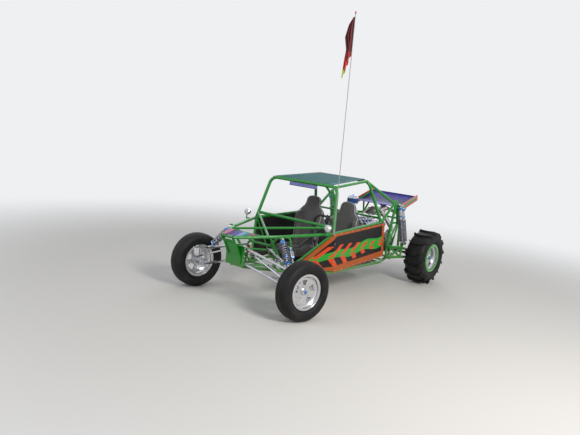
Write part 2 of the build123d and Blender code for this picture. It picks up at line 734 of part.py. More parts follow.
# Wheels, made about the X axis with the outer face towards +X
def rim(width, disc_x, hub_low, hub_high):
    half = width / 2
    lip = RIM_LIP
    outer = [
        (half, RIM_FLANGE_R),
        (half - lip, RIM_FLANGE_R),
        (half - lip, RIM_BEAD_R),
        (half - 32, RIM_BEAD_R - 2),
        (half - 46, RIM_WELL_R),
    ]
    outer = outer + [(-x, r) for x, r in reversed(outer)]
    inner = [
        (half, RIM_FLANGE_R - RIM_WALL),
        (half - lip + RIM_WALL, RIM_FLANGE_R - RIM_WALL),
        (half - lip + RIM_WALL, RIM_BEAD_R - RIM_WALL),
        (half - 32, RIM_BEAD_R - 2 - RIM_WALL),
        (half - 46, RIM_WELL_R - RIM_WALL),
    ]
    inner = inner + [(-x, r) for x, r in reversed(inner)]
    barrel = turned(outer + list(reversed(inner)))
    web = turned([
        (disc_x - DISC_T, HUB_R - 4),
        (disc_x, HUB_R - 4),
        (disc_x + 8, RIM_WELL_R - RIM_WALL + 2),
        (disc_x + 8 - DISC_T, RIM_WELL_R - RIM_WALL + 2),
    ])
    hub = turned([(hub_low, 0), (hub_low, HUB_R), (hub_high, HUB_R), (hub_high, 0)])
    opening = Polygon((-26, 78), (26, 78), (44, 138), (-44, 138), align=None)
    window = extrude(Plane.YZ * opening, 300, both=True)
    windows = [window.rotate(Axis.X, 360 / WINDOW_COUNT * i) for i in range(WINDOW_COUNT)]
    return join([barrel, hub, web.cut(*windows)])


def tyre(width, rim_width, radius):
    half = width / 2
    bead = rim_width / 2 - RIM_LIP - FIT_GAP
    side_r = (RIM_FLANGE_R + radius) / 2 + 12
    left_half = [
        (bead, RIM_BEAD_R + FIT_GAP),
        (bead, RIM_FLANGE_R + 4),
        (half - 9, RIM_FLANGE_R + 30),
        (half, side_r),
        (half - 6, radius - 34),
        (half - 28, radius - 10),
        (half * 0.45, radius),
    ]
    return turned(left_half + [(-x, r) for x, r in reversed(left_half)])


def paddle_tyre():
    """The sand tyre: a smooth carcass with cupped paddles across it."""
    carcass = tyre(REAR_TYRE_W, REAR_RIM_W, REAR_TYRE_R - PADDLE_H)
    half = REAR_TYRE_W / 2 - 6
    cup = Pos(0, PADDLE_CUP, 0) * (Circle(PADDLE_CUP) - Circle(PADDLE_CUP - PADDLE_T))
    plan = cup & (Pos(0, 40, 0) * Rectangle(2 * half, 120))
    root = REAR_TYRE_R - 96
    blade = Pos(0, -25, root) * extrude(plan, REAR_TYRE_R - root)
    blades = [blade.rotate(Axis.X, 180 + 360 / PADDLE_COUNT * i) for i in range(PADDLE_COUNT)]
    shoulder = REAR_TYRE_R - 40
    left_half = [(half, 270), (half, shoulder), (half - 30, REAR_TYRE_R)]
    envelope = turned(left_half + [(-x, r) for x, r in reversed(left_half)])
    return join([carcass] + [blade & envelope for blade in blades])


# Rear suspension and drive
def rear_arm():
    """A trailing arm of braced tubes from the chassis pins to the hub carrier."""
    pin = Vector(REAR_PIVOT_OUT, 0, 0)
    low, high = PIVOT_LOW + pin, PIVOT_HIGH + pin
    hub_low = REAR_HUB + Vector(0, -30, -48)
    hub_high = REAR_HUB + Vector(0, -30, 48)
    knee_low = Vector(REAR_ARM_X, 1190, 395)
    knee_high = Vector(REAR_ARM_X, 1215, 530)
    tubes = [
        bent([low, knee_low, hub_low], REAR_ARM_R, 90),
        bent([high, knee_high, hub_high], REAR_ARM_R, 90),
        rod(low, knee_high, BRACE_R),
        rod(high, knee_low, BRACE_R),
        rod(knee_low, knee_high, BRACE_R),
        disc(low, (1, 0, 0), 27, BUSH_W),
        disc(high, (1, 0, 0), 27, BUSH_W),
        disc(REAR_HUB, (1, 0, 0), 66, 70),
    ]
    tubes += [lug(between(knee_high, hub_high, 0.05), eye, (1, 0, 0), -1) for eye in rear_shock_feet()]
    bores = [disc(REAR_HUB, (1, 0, 0), SPINDLE_R + FIT_GAP, 200)]
    bores += [disc(pivot, (1, 0, 0), BOLT_R + FIT_GAP, 2 * BUSH_W) for pivot in (low, high)]
    return join(tubes).cut(*bores).solids().sort_by(SortBy.VOLUME)[-1]


def rear_shock_feet():
    """The lower eyes of one side's two rear dampers."""
    return [REAR_SHOCK_LOW, REAR_SHOCK_LOW + Vector(0, REAR_SHOCK_PITCH, 0)]


def half_shaft():
    """The drive shaft from the gearbox flange through the hub carrier to the wheel's hub."""
    hub_face = REAR_TRACK_HALF + REAR_HUB_LOW
    boot = [(0, 0), (0, 52), (30, 52), (70, 26), (70, 0)]
    inner = turned([(GEARBOX_FLANGE_X + TOUCH + x, r) for x, r in boot])
    outer = turned([(REAR_HUB.X - 35 - 6 - x, r) for x, r in boot])
    shaft = turned([(GEARBOX_FLANGE_X + 5, 0), (GEARBOX_FLANGE_X + 5, SPINDLE_R), (hub_face, SPINDLE_R), (hub_face, 0)])
    return Pos(0, REAR_AXLE_Y, REAR_TYRE_R) * join([inner, outer, shaft])


# Engine, gearbox, intake and exhaust
def engine_block():
    """A V engine: block with both heads, front pulleys and the pad on its cross tube."""
    left = [(x, z) for x, z in ENGINE_SIDE]
    ring = left + [(-x, z) for x, z in reversed(left)]
    front = make_face(Polyline(*[(x, ENGINE_FRONT_Y, z) for x, z in ring], close=True))
    foot = engine_cross()
    low = foot.Z + BRACE_R + TOUCH
    pulleys = [(0, 480, 78), (0, 690, 55), (120, 610, 42), (-120, 610, 42)]
    return join([
        extrude(front, ENGINE_BACK_Y - ENGINE_FRONT_Y, dir=(0, 1, 0)),
        block(Vector(-ENGINE_SIDE[1][0], foot.Y - 25, low), Vector(ENGINE_SIDE[1][0], foot.Y + 25, ENGINE_SIDE[1][1])),
    ] + [rod(Vector(x, ENGINE_FRONT_Y, z), Vector(x, ENGINE_FRONT_Y - 45, z), r) for x, z, r in pulleys])


def valve_cover():
    """A ribbed cover on the left head's slanted face."""
    outer, inner = Vector(ENGINE_SIDE[3][0], 0, ENGINE_SIDE[3][1]), Vector(ENGINE_SIDE[4][0], 0, ENGINE_SIDE[4][1])
    length = ENGINE_BACK_Y - ENGINE_FRONT_Y - 60
    middle = between(outer, inner, 0.5) + Vector(0, (ENGINE_BACK_Y + ENGINE_FRONT_Y) / 2, 0)
    plane = Plane(origin=middle, x_dir=outer - inner, z_dir=(outer - inner).cross(Vector(0, 1, 0)))
    plane = plane if plane.z_dir.Z > 0 else Plane(origin=middle, x_dir=inner - outer, z_dir=plane.z_dir * -1)
    profile = [(-0.5, 0), (-0.5, 0.45), (-0.34, 1), (0.34, 1), (0.5, 0.45), (0.5, 0)]
    section = make_face(Polyline(*[(x * COVER_W, 0, z * COVER_T) for x, z in profile], close=True))
    cover = plane * extrude(section, length / 2, dir=(0, 1, 0), both=True)
    pitch = COVER_W * 0.68 / COVER_RIBS
    ribs = [
        plane * Pos((i - (COVER_RIBS - 1) / 2) * pitch, 0, COVER_T) * Box(pitch * 0.45, length * 0.86, 8)
        for i in range(COVER_RIBS)
    ]
    return join([cover] + ribs)


def gearbox():
    """The bell housing, the ribbed case and the drive flanges in line with the rear wheels."""
    height = TAIL_MID.Z + BRACE_R + TOUCH + GEARBOX_R
    bell_end = ENGINE_BACK_Y + 110
    bell = Pos(0, ENGINE_BACK_Y, height) * Rot(-90, 0, 0) * Cone(GEARBOX_R + 24, GEARBOX_R - 14, 110, align=Z_UP)
    case = rod(Vector(0, bell_end, height), Vector(0, GEARBOX_BACK_Y - 30, height), GEARBOX_R - 14)
    cap = rod(Vector(0, GEARBOX_BACK_Y - 30, height), Vector(0, GEARBOX_BACK_Y, height), GEARBOX_R - 50)
    pitch = (GEARBOX_BACK_Y - 60 - bell_end) / (GEARBOX_RIBS - 1)
    ribs = [disc(Vector(0, bell_end + 15 + pitch * i, height), (0, 1, 0), GEARBOX_R, 12) for i in range(GEARBOX_RIBS)]
    side = disc(Vector(0, REAR_AXLE_Y, REAR_TYRE_R), (1, 0, 0), 62, 2 * GEARBOX_FLANGE_X)
    flanges = [
        disc(Vector(x, REAR_AXLE_Y, REAR_TYRE_R), (1, 0, 0), 70, 16) for x in (8 - GEARBOX_FLANGE_X, GEARBOX_FLANGE_X - 8)
    ]
    floor = block(Vector(-400, ENGINE_BACK_Y - 1, 0), Vector(400, GEARBOX_BACK_Y, height - GEARBOX_R))
    return join([bell, case, cap, side] + ribs + flanges) - floor


def intake():
    """The plenum with its runners, the throttle pipe and the round air cleaner."""
    low = ENGINE_SIDE[5][1]
    length = (ENGINE_BACK_Y - ENGINE_FRONT_Y) * 0.62
    middle = (ENGINE_BACK_Y + ENGINE_FRONT_Y) / 2
    plenum = Pos(0, middle, PLENUM_TOP_Z - 55) * Box(150, length, 110)
    plenum = fillet(plenum.edges().filter_by(Axis.Y), 30)
    shapes = [plenum, Pos(0, middle, (low + PLENUM_TOP_Z) / 2 - 30) * Box(80, length * 0.9, PLENUM_TOP_Z - low - 60)]
    for i in range(HEADER_COUNT):
        y = middle + (i - (HEADER_COUNT - 1) / 2) * length / HEADER_COUNT
        runner = rod(Vector(60, y, PLENUM_TOP_Z - 60), Vector(150, y, 805), RUNNER_R)
        shapes += [runner, flip(runner)]
    cleaner = Vector(-80, 800, 1150)
    neck = Vector(-20, 860, PLENUM_TOP_Z - 30)
    shapes += [
        rod(neck, cleaner - Vector(0, 0, 50), 36),
        Pos(*cleaner) * Cylinder(78, 90),
        Pos(cleaner.X, cleaner.Y, cleaner.Z + 45) * Cone(84, 60, 22, align=Z_UP),
    ]
    return join(shapes)


def header():
    """The left head's exhaust pipes into the pipe that rises to the muffler."""
    side_x = (ENGINE_SIDE[2][0] + ENGINE_SIDE[3][0]) / 2
    side_z = (ENGINE_SIDE[2][1] + ENGINE_SIDE[3][1]) / 2
    merge = Vector(318, ENGINE_BACK_Y + 60, 720)
    length = (ENGINE_BACK_Y - ENGINE_FRONT_Y) * 0.74
    middle = (ENGINE_BACK_Y + ENGINE_FRONT_Y) / 2
    pipes = []
    for i in range(HEADER_COUNT):
        y = middle + (i - (HEADER_COUNT - 1) / 2) * length / (HEADER_COUNT - 1)
        elbow = Vector(side_x + 95, y + 40, side_z - 40)
        pipes.append(bent([Vector(side_x - 10, y, side_z), elbow, merge], HEADER_R, 34))
    return join(pipes + [bent([between(merge, Vector(side_x + 95, middle, side_z - 40), 0.1), merge + Vector(0, 70, 40), muffler_inlet()], COLLECTOR_R, 60)])


def muffler_inlet():
    """Where the left exhaust pipe enters the muffler."""
    return Vector(MUFFLER_R + 30, ENGINE_BACK_Y + 130, 1000)


def muffler():
    """The oval silencer above the gearbox with its outlet pipe and tip."""
    start, end = Vector(20, ENGINE_BACK_Y + 20, 990), Vector(20, ENGINE_BACK_Y + 330, 1018)
    tip = Vector(279, 1750, 925)
    return join([
        rod(start, end, MUFFLER_R),
        rod(onward(start, end, -14), onward(end, start, -14), MUFFLER_R - 12),
        bent([onward(end, start, 30), onward(end, start, -70), tip], 26, 40),
        rod(onward(tip, end, 70), onward(tip, end, -20), 33),
    ])


# Wing, whip and flag
def wing():
    """A cambered blade, hollow side up, with a small lip at its trailing edge."""
    chord = WING_REAR - WING_FRONT
    length = chord.length
    plane = Plane(origin=WING_FRONT, x_dir=chord, z_dir=(1, 0, 0))
    edges = [
        ThreePointArc((0, 7), (length / 2, -22), (length - 4, 4)),
        Polyline((length - 4, 4), (length - 4, WING_LIP), (length, WING_LIP), (length, -4)),
        ThreePointArc((length, -4), (length / 2, -38), (0, -9)),
        ThreePointArc((0, -9), (-8, -1), (0, 7)),
    ]
    return extrude(plane * make_face([edge for line in edges for edge in line.edges()]), WING_HALF, both=True)


def end_plate():
    chord = WING_REAR - WING_FRONT
    middle = WING_FRONT + chord / 2 + Vector(WING_HALF + TOUCH, 0, 0)
    plane = Plane(origin=middle, x_dir=chord, z_dir=(1, 0, 0))
    return extrude(plane * RectangleRounded(chord.length + 24, END_PLATE_H, 20), PANEL_T)


def whip():
    bracket = block(WHIP_BASE - Vector(40, 8, 8), WHIP_BASE + Vector(0, 8, 8))
    return join([rod(WHIP_BASE, WHIP_TOP, WHIP_R), rod(WHIP_BASE, onward(WHIP_BASE, WHIP_TOP, 60), 11), bracket])


def flag():
    """The folded flag that hangs from the top of the whip."""
    top = onward(WHIP_TOP, WHIP_BASE, FLAG_DROP)
    edge = [(top.X - reach, top.Y, top.Z - drop) for reach, drop in FLAG_EDGE]
    cloth = extrude(make_face(Polyline(*edge, close=True)), FLAG_T / 2, dir=(0, 1, 0), both=True)
    return cloth - rod(WHIP_BASE, WHIP_TOP, WHIP_R + TOUCH)


def rear_ring():
    """The clamping ring on the outer face of a rear rim."""
    face = REAR_RIM_W / 2
    return turned([(face, RING_BORE_R), (face, RING_R), (face + RING_T, RING_R), (face + RING_T, RING_BORE_R)])


# Assembly
belt = belt_rails()
lower = coped(lower_rails(), belt)
pickup = coped(front_pickup(), belt, lower)
floor = coped(floor_frame(), lower)
cage = coped(roll_cage(), belt, lower, floor)
pivots = coped(rear_pivot(), floor)
blade = wing()
rear = coped(rear_frame(), floor, cage, pivots, flip(pivots), blade)
engine = engine_block()
air = coped(intake(), engine)
silencer = coped(muffler(), blade)
pipes = coped(header(), engine, silencer)
cover = coped(valve_cover(), engine, air)
write("belt_rails", belt)
write("lower_rails", lower)
write("front_pickup", pickup)
write("nose_braces", *both(coped(nose_brace(), belt, lower, cage)))
write("nose_deck", coped(nose_deck(), belt, cage))
write("floor_frame", floor)
write("roll_cage", cage)
write("rear_pivots", *both(pivots))
write("rear_frame", rear)
write("bulkhead", coped(bulkhead(), lower, pickup))
write("floor_pan", floor_pan())
write("roof_panel", roof_panel())
write("nose_panel", nose_panel())
write("side_panels", *both(side_panel()))
write("mirror", coped(mirror_strip(), cage))
write("headlamps", *both(lamp()))
write("seat_driver", seat())
write("seat_passenger", flip(seat()))
write("seat_rails", *[shape for rail in seat_rails() for shape in both(rail)])
write("shift_lever", shift_lever())
write("pedals", *[coped(pedal(x), lower) for x in (120, 230)])
write("front_upper_arms", *both(upper_arm()))
write("front_lower_arms", *both(front_arm(LOWER_FRONT, LOWER_REAR, LOWER_BALL)))
write("front_shocks", *both(damper(SHOCK_EYE, SHOCK_LOW, (0, 1, 0), 0.6, DAMPER_R, True)))
write("front_bypass_shocks", *both(damper(BYPASS_TOP, bypass_low(), (0, 1, 0), 0.6, BYPASS_R, False)))
rear_dampers = [damper(top, foot, (1, 0, 0), 0.55, DAMPER_R, False) for top, foot in zip(rear_shock_tops(), rear_shock_feet())]
write("rear_shocks", *[shape for item in rear_dampers for shape in both(item)])
write("rear_arms", *both(rear_arm()))
write("rack_housing", rack_housing())
write("steering_rack", steering_rack())
write("steering_wheel", steering_wheel())
write("steering_column", steering_column())
write("engine_block", engine)
write("valve_covers", *both(cover))
write("gearbox", gearbox())
write("intake", air)
write("exhaust_headers", *both(pipes))
write("muffler", silencer)
write("wing", blade)
write("wing_end_plates", *both(end_plate()))
write("whip", coped(whip(), belt))
write("whip_flag", flag())

upright = knuckle()
shaft = half_shaft()
front_place = Pos(FRONT_TRACK_HALF, FRONT_AXLE_Y, FRONT_HUB_Z)
rear_place = Pos(REAR_TRACK_HALF, REAR_AXLE_Y, REAR_TYRE_R)
spindle_bore = disc(Vector(0, 0, 0), (1, 0, 0), SPINDLE_R + FIT_GAP, 2 * HUB_HALF)
front_rim = front_place * (rim(FRONT_RIM_W, 30, -HUB_HALF, HUB_HALF) - Pos(-8, 0, 0) * spindle_bore)
front_tyre = front_place * tyre(FRONT_TYRE_W, FRONT_RIM_W, FRONT_TYRE_R)
rear_rim = rear_place * rim(REAR_RIM_W, 70, REAR_HUB_LOW, 84)
rear_tyre = rear_place * paddle_tyre()
ring = rear_place * rear_ring()
for name, side in (("left", 1), ("right", -1)):
    write(f"knuckle_{name}", steered(upright, side))
    write(f"front_rim_{name}", steered(front_rim, side))
    write(f"front_tyre_{name}", steered(front_tyre, side))
    for node, shape in (("rear_rim", rear_rim), ("rear_ring", ring), ("rear_tyre", rear_tyre), ("half_shaft", shaft)):
        write(f"{node}_{name}", shape if side > 0 else flip(shape))
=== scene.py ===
"""Dune buggy, dressed: the frame's parts get their finishes, and soft, coiled and small pieces are added."""
import math

import bpy
from mathutils import Matrix, Vector


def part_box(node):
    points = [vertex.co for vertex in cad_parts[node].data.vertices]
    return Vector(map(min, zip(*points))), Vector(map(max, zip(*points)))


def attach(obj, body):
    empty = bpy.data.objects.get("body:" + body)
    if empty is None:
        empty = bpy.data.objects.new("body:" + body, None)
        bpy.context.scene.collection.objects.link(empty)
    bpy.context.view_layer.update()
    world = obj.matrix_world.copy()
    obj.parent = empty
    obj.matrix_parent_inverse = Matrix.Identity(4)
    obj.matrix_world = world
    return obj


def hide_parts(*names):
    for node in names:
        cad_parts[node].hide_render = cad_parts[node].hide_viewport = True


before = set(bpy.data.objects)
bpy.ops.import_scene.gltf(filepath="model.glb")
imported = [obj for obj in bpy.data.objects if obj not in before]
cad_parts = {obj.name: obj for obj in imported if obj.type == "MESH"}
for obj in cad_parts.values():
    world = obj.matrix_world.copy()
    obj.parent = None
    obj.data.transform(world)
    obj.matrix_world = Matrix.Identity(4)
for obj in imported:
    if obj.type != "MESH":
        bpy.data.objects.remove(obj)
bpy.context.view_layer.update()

# Camera: a standing person's eye, left of the nose and some nine metres off, leaning a little
VIEW_AZIMUTH, VIEW_HEIGHT, VIEW_LEAN = (math.radians(angle) for angle in (37.312, 8.368, 5.700))
CAMERA_PLACE = Vector((5.00580, -7.35599, 2.20805))
CAMERA_LENS = 40.34

view_back = Vector((
    math.sin(VIEW_AZIMUTH) * math.cos(VIEW_HEIGHT),
    -math.cos(VIEW_AZIMUTH) * math.cos(VIEW_HEIGHT),
    math.sin(VIEW_HEIGHT),
))
level_right = Vector((0, 0, 1)).cross(view_back).normalized()
level_up = view_back.cross(level_right)
view_right = level_right * math.cos(VIEW_LEAN) + level_up * math.sin(VIEW_LEAN)
view_up = level_up * math.cos(VIEW_LEAN) - level_right * math.sin(VIEW_LEAN)
bpy.ops.object.camera_add()
camera = bpy.context.object
camera.data.sensor_fit = "HORIZONTAL"
camera.data.sensor_width = 36.0
camera.data.lens = CAMERA_LENS
view_turn = Matrix((view_right, view_up, view_back)).transposed().to_4x4()
camera.matrix_world = Matrix.Translation(CAMERA_PLACE) @ view_turn
bpy.context.scene.camera = camera

# Studio: a pale floor that fades into a pale room, a wide key light from the left side and soft fill
FLOOR_COLOUR = (0.74, 0.73, 0.71)
ROOM_COLOUR = (0.86, 0.87, 0.89)
FLOOR_SIZE = 40.0
FLOOR_FADE = (3.4, 8.5)
ROOM_LIGHT = 0.46
# The room is at full strength only where a ray of one of these kinds meets it
SEEN_RAYS = ("Is Camera Ray", "Is Glossy Ray", "Is Transmission Ray")
LAMP_AIM = Vector((0, 0, 0.6))
# Columns: name, place, size, power, colour
LAMPS = [
    ("key_light", (7.0, -3.0, 5.2), 2.2, 400.0, (1.0, 0.96, 0.90)),
    ("front_fill", (-3.5, -8.0, 3.5), 5.0, 95.0, (0.90, 0.95, 1.0)),
    ("back_fill", (-3.0, 7.0, 4.5), 5.0, 110.0, (0.95, 0.97, 1.0)),
]


class Tone:
    """A value in a material's node tree, worked out with ordinary arithmetic."""

    def __init__(self, tree, socket):
        self.tree = tree
        self.socket = socket

    def node(self, kind, settings, inputs, output=0):
        """Another node of the same tree: its type, its settings, and the values or links of its sockets."""
        made = self.tree.nodes.new(kind)
        for name, value in settings.items():
            if name == "stops":
                for _ in value[2:]:
                    made.color_ramp.elements.new(1.0)
                for stop, (position, colour) in zip(made.color_ramp.elements, value):
                    stop.position = position
                    stop.color = (*colour, 1.0)
            elif name == "steps":
                made.color_ramp.interpolation = value
            else:
                setattr(made, name, value)
        for name, value in inputs.items():
            if isinstance(value, Tone):
                self.tree.links.new(value.socket, made.inputs[name])
            else:
                made.inputs[name].default_value = value
        return Tone(self.tree, made.outputs[output])

    def sum(self, operation, first, second=0.0):
        """Arithmetic by an operation's name, on one value or on two."""
        return self.node("ShaderNodeMath", {"operation": operation}, {0: first, 1: second})

    def __add__(self, other):
        return self.sum("ADD", self, other)

    def __sub__(self, other):
        return self.sum("SUBTRACT", self, other)

    def __rsub__(self, other):
        return self.sum("SUBTRACT", other, self)

    def __mul__(self, other):
        return self.sum("MULTIPLY", self, other)

    def __truediv__(self, other):
        return self.sum("DIVIDE", self, other)

    def __gt__(self, other):
        return self.sum("GREATER_THAN", self, other)

    def __lt__(self, other):
        return self.sum("LESS_THAN", self, other)

    def __or__(self, other):
        return self.sum("MAXIMUM", self, other)

    def __and__(self, other):
        return self.sum("MINIMUM", self, other)

    def __abs__(self):
        return self.sum("ABSOLUTE", self)

    __radd__ = __add__
    __rmul__ = __mul__


def finish(name, colour, roughness, metallic=0.0, others=()):
    """A new material, and the place on the object that its patterns read."""
    material = bpy.data.materials.new(name)
    material.use_nodes = True
    tree = material.node_tree
    values = {"Base Color": (*colour, 1.0), "Roughness": roughness, "Metallic": metallic} | dict(others)
    for socket, value in values.items():
        tree.nodes["Principled BSDF"].inputs[socket].default_value = value
    return material, Tone(tree, tree.nodes.new("ShaderNodeTexCoord").outputs["Object"])


def feed(material, tones):
    """Lead values that change over the surface to the shader's sockets."""
    shader = material.node_tree.nodes["Principled BSDF"]
    for socket, tone in tones.items():
        material.node_tree.links.new(tone.socket, shader.inputs[socket])


def axis(place, letter):
    """One coordinate of a place."""
    return place.node("ShaderNodeSeparateXYZ", {}, {0: place}, "XYZ".index(letter))


def stretched(place, *factors):
    """A place stretched along its three axes, to draw a pattern out."""
    return place.node("ShaderNodeMapping", {}, {0: place, 3: factors})


def grain(place, scale, detail=3.0):
    """Soft random variation, from 0 to 1."""
    inputs = {"Vector": place, "Scale": scale, "Detail": detail, "Roughness": 0.55}
    return place.node("ShaderNodeTexNoise", {}, inputs)


def mixed(share, first, second):
    """A colour between two, where a share of 1 is the second."""
    colours = [(*colour, 1.0) if isinstance(colour, tuple) else colour for colour in (first, second)]
    return share.node("ShaderNodeMix", {"data_type": "RGBA"}, {0: share, 6: colours[0], 7: colours[1]}, 2)


def eased(value, low, high):
    """0 below low, 1 above high and smooth between."""
    inputs = {0: value, 1: low, 2: high, 3: 0.0, 4: 1.0}
    return value.node("ShaderNodeMapRange", {"interpolation_type": "SMOOTHSTEP"}, inputs)


def relief(material, height, depth):
    """Raise the surface by a height from 0 to 1, times a depth in metres."""
    feed(material, {"Normal": height.node("ShaderNodeBump", {}, {"Height": height, "Distance": depth})})


bpy.ops.object.select_all(action="DESELECT")
bpy.ops.mesh.primitive_plane_add(size=FLOOR_SIZE)
studio_floor = bpy.context.object
studio_floor.name = "studio_floor"
floor_paint, floor_place = finish("studio_floor", FLOOR_COLOUR, 0.9)
floor_span = floor_place.node("ShaderNodeVectorMath", {"operation": "LENGTH"}, {0: floor_place}, 1)
floor_tree = floor_paint.node_tree
clear_floor = floor_span.node("ShaderNodeBsdfTransparent", {}, {})
full_floor = Tone(floor_tree, floor_tree.nodes["Principled BSDF"].outputs[0])
floor_blend = floor_span.node("ShaderNodeMixShader", {}, {
    0: eased(floor_span, *FLOOR_FADE), 1: full_floor, 2: clear_floor,
})
floor_tree.links.new(floor_blend.socket, floor_tree.nodes["Material Output"].inputs["Surface"])
studio_floor.data.materials.append(floor_paint)

room = bpy.data.worlds.new("room")
bpy.context.scene.world = room
room.use_nodes = True
room_back = room.node_tree.nodes["Background"]
room_back.inputs["Color"].default_value = (*ROOM_COLOUR, 1.0)
rays = room.node_tree.nodes.new("ShaderNodeLightPath")
seen = [Tone(room.node_tree, rays.outputs[name]) for name in SEEN_RAYS]
room_seen = seen[0] | seen[1] | seen[2]
room.node_tree.links.new((ROOM_LIGHT + room_seen * (1.0 - ROOM_LIGHT)).socket, room_back.inputs["Strength"])
for name, place, size, power, colour in LAMPS:
    bpy.ops.object.light_add(type="AREA", location=place)
    studio_lamp = bpy.context.object
    studio_lamp.name = name
    studio_lamp.data.size = size
    studio_lamp.data.energy = power
    studio_lamp.data.color = colour
    studio_lamp.rotation_euler = (Vector(place) - LAMP_AIM).to_track_quat("Z", "Y").to_euler()
bpy.context.scene.view_settings.view_transform = "Standard"

# Frame: round steel tube, notched and welded at each joint, then powder coated a bright green.
# Fine sand dulls the coat on the low rails.
FRAME_GREEN = (0.006, 0.240, 0.020)
GREEN_SHADES = ((0.004, 0.190, 0.014), (0.010, 0.300, 0.026))
DUST = (0.42, 0.33, 0.22)
DUST_FULL_BELOW = 0.12
FRAME_NODES = (
    "belt_rails", "lower_rails", "front_pickup", "nose_braces", "nose_deck", "floor_frame", "roll_cage",
    "rear_pivots", "rear_frame", "rear_arms", "bulkhead",
)


def dress(nodes, material):
    """Give CAD parts their finish."""
    for node in nodes:
        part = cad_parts[node]
        part.data.materials.clear()
        part.data.materials.append(material)


def dusted(place, colour, top, amount):
    """A colour with sand on it below a height, in uneven patches."""
    low = 1.0 - eased(axis(place, "Z"), DUST_FULL_BELOW, top)
    return mixed(low * amount * grain(place, 9.0, 4.0), colour, DUST)


frame_green, place = finish("frame_green", FRAME_GREEN, 0.30, 0.0, {"Coat Weight": 0.25, "Coat Roughness": 0.10})
shade = mixed(grain(place, 14.0), *GREEN_SHADES)
feed(frame_green, {"Base Color": dusted(place, shade, 0.75, 0.55), "Roughness": 0.24 + grain(place, 30.0) * 0.22})
relief(frame_green, grain(place, 900.0, 1.0), 0.0002)
dress(FRAME_NODES, frame_green)

# Skins: a brushed aluminium floor pan and a painted roof sheet, riveted to the tubes under them.
# The roof is teal over pale blue, with a double line near its edge.
ALUMINIUM = (0.60, 0.60, 0.61)
ALUMINIUM_SHADES = ((0.36, 0.36, 0.37), (0.60, 0.60, 0.61))
ROOF_TEAL = (0.016, 0.130, 0.150)
ROOF_SHADES = ((0.006, 0.082, 0.088), (0.022, 0.165, 0.172))
ROOF_PALE = (0.16, 0.36, 0.40)
# Half width of the roof in front, its loss at the rear, and each line's distance from the edge and half width
ROOF_HALF, ROOF_TAPER = 0.46, 0.075
WIDE_LINE, FINE_LINE = (0.050, 0.005), (0.066, 0.002)

floor_metal, place = finish("floor_aluminium", ALUMINIUM, 0.42, 0.9)
brushed = grain(stretched(place, 220, 3, 3), 1.0, 5.0)
feed(floor_metal, {
    "Base Color": dusted(place, mixed(brushed, *ALUMINIUM_SHADES), 0.55, 1.0),
    "Roughness": 0.30 + brushed * 0.3,
})
dress(["floor_pan"], floor_metal)

low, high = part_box("roof_panel")
roof_paint, place = finish("roof_teal", ROOF_TEAL, 0.55, 0.0, {"Specular IOR Level": 0.06})
rear_share = eased(axis(place, "Y"), low.y, high.y)
edge = abs(axis(place, "X")) - (ROOF_HALF - ROOF_TAPER * rear_share)
line = (abs(edge + WIDE_LINE[0]) < WIDE_LINE[1]) | (abs(edge + FINE_LINE[0]) < FINE_LINE[1])
clouds = grain(stretched(place, 2.0, 5.0, 1.0), 2.4, 4.0)
feed(roof_paint, {
    "Base Color": mixed(line, mixed(clouds, *ROOF_SHADES), ROOF_PALE), "Roughness": 0.48 + grain(place, 26.0) * 0.2,
})
dress(["roof_panel"], roof_paint)

# Nose-top plate: aluminium sheet painted in slanting bands of pink, violet, blue and teal, and fixed to the
# nose rails along its sides.
NOSE_BANDS = [
    (0.00, (0.055, 0.020, 0.075)), (0.14, (0.50, 0.07, 0.16)), (0.26, (0.62, 0.22, 0.36)), (0.36, (0.09, 0.03, 0.13)),
    (0.47, (0.10, 0.10, 0.38)), (0.60, (0.26, 0.40, 0.62)), (0.70, (0.03, 0.24, 0.26)), (0.82, (0.48, 0.06, 0.13)),
    (0.92, (0.10, 0.03, 0.14)),
]
BAND_SLANT, BAND_SPAN = 0.42, 1.30
low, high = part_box("nose_panel")
nose_paint, place = finish("nose_paint", NOSE_BANDS[2][1], 0.5, 0.0, {"Specular IOR Level": 0.2})
waver = grain(stretched(place, 1.0, 3.0, 1.0), 6.0, 2.0) * 0.05
slant = axis(place, "X") + axis(place, "Y") * BAND_SLANT - (low.y * BAND_SLANT + low.x) + waver
slant = slant / ((high.x - low.x) * BAND_SPAN)
bands = slant.node("ShaderNodeValToRGB", {"stops": NOSE_BANDS, "steps": "CONSTANT"}, {0: slant})
feed(nose_paint, {"Base Color": bands, "Roughness": 0.42 + grain(place, 24.0) * 0.2})
dress(["nose_panel"], nose_paint)

# Side panels: sheet with a broad burnt orange border, a black field, a bright green band that runs
# up to the rear, and a row of slim orange-red darts. The sheet is held by small button-head screws.
PANEL_ORANGE = (0.52, 0.105, 0.018)
PANEL_BLACK = (0.012, 0.011, 0.012)
PANEL_GREEN = (0.030, 0.420, 0.045)
PANEL_RED = (0.80, 0.085, 0.020)
BORDER_SHADES = ((0.40, 0.075, 0.012), (0.60, 0.135, 0.024))
# Columns: a corner on each edge of the panel (along the car, height), the way inward, width of the border
PANEL_EDGES = (
    (-0.704, 0.896, 0.0426, -1.0, 0.046), (-0.480, 0.345, -0.0758, 1.0, 0.092),
    (0.610, 0.952, -0.953, -0.3034352, 0.062), (-0.704, 0.888, 0.756, -0.654696, 0.070),
)
# Green band: middle height at the origin, its rise, its waves along and up, and its half width with its growth
BAND_MIDDLE, BAND_RISE = 0.610, 0.085
BAND_WAVES, BAND_RIPPLE, BAND_LIFT = 9.0, 0.022, 0.022
BAND_HALF, BAND_GROWTH = 0.050, 0.030
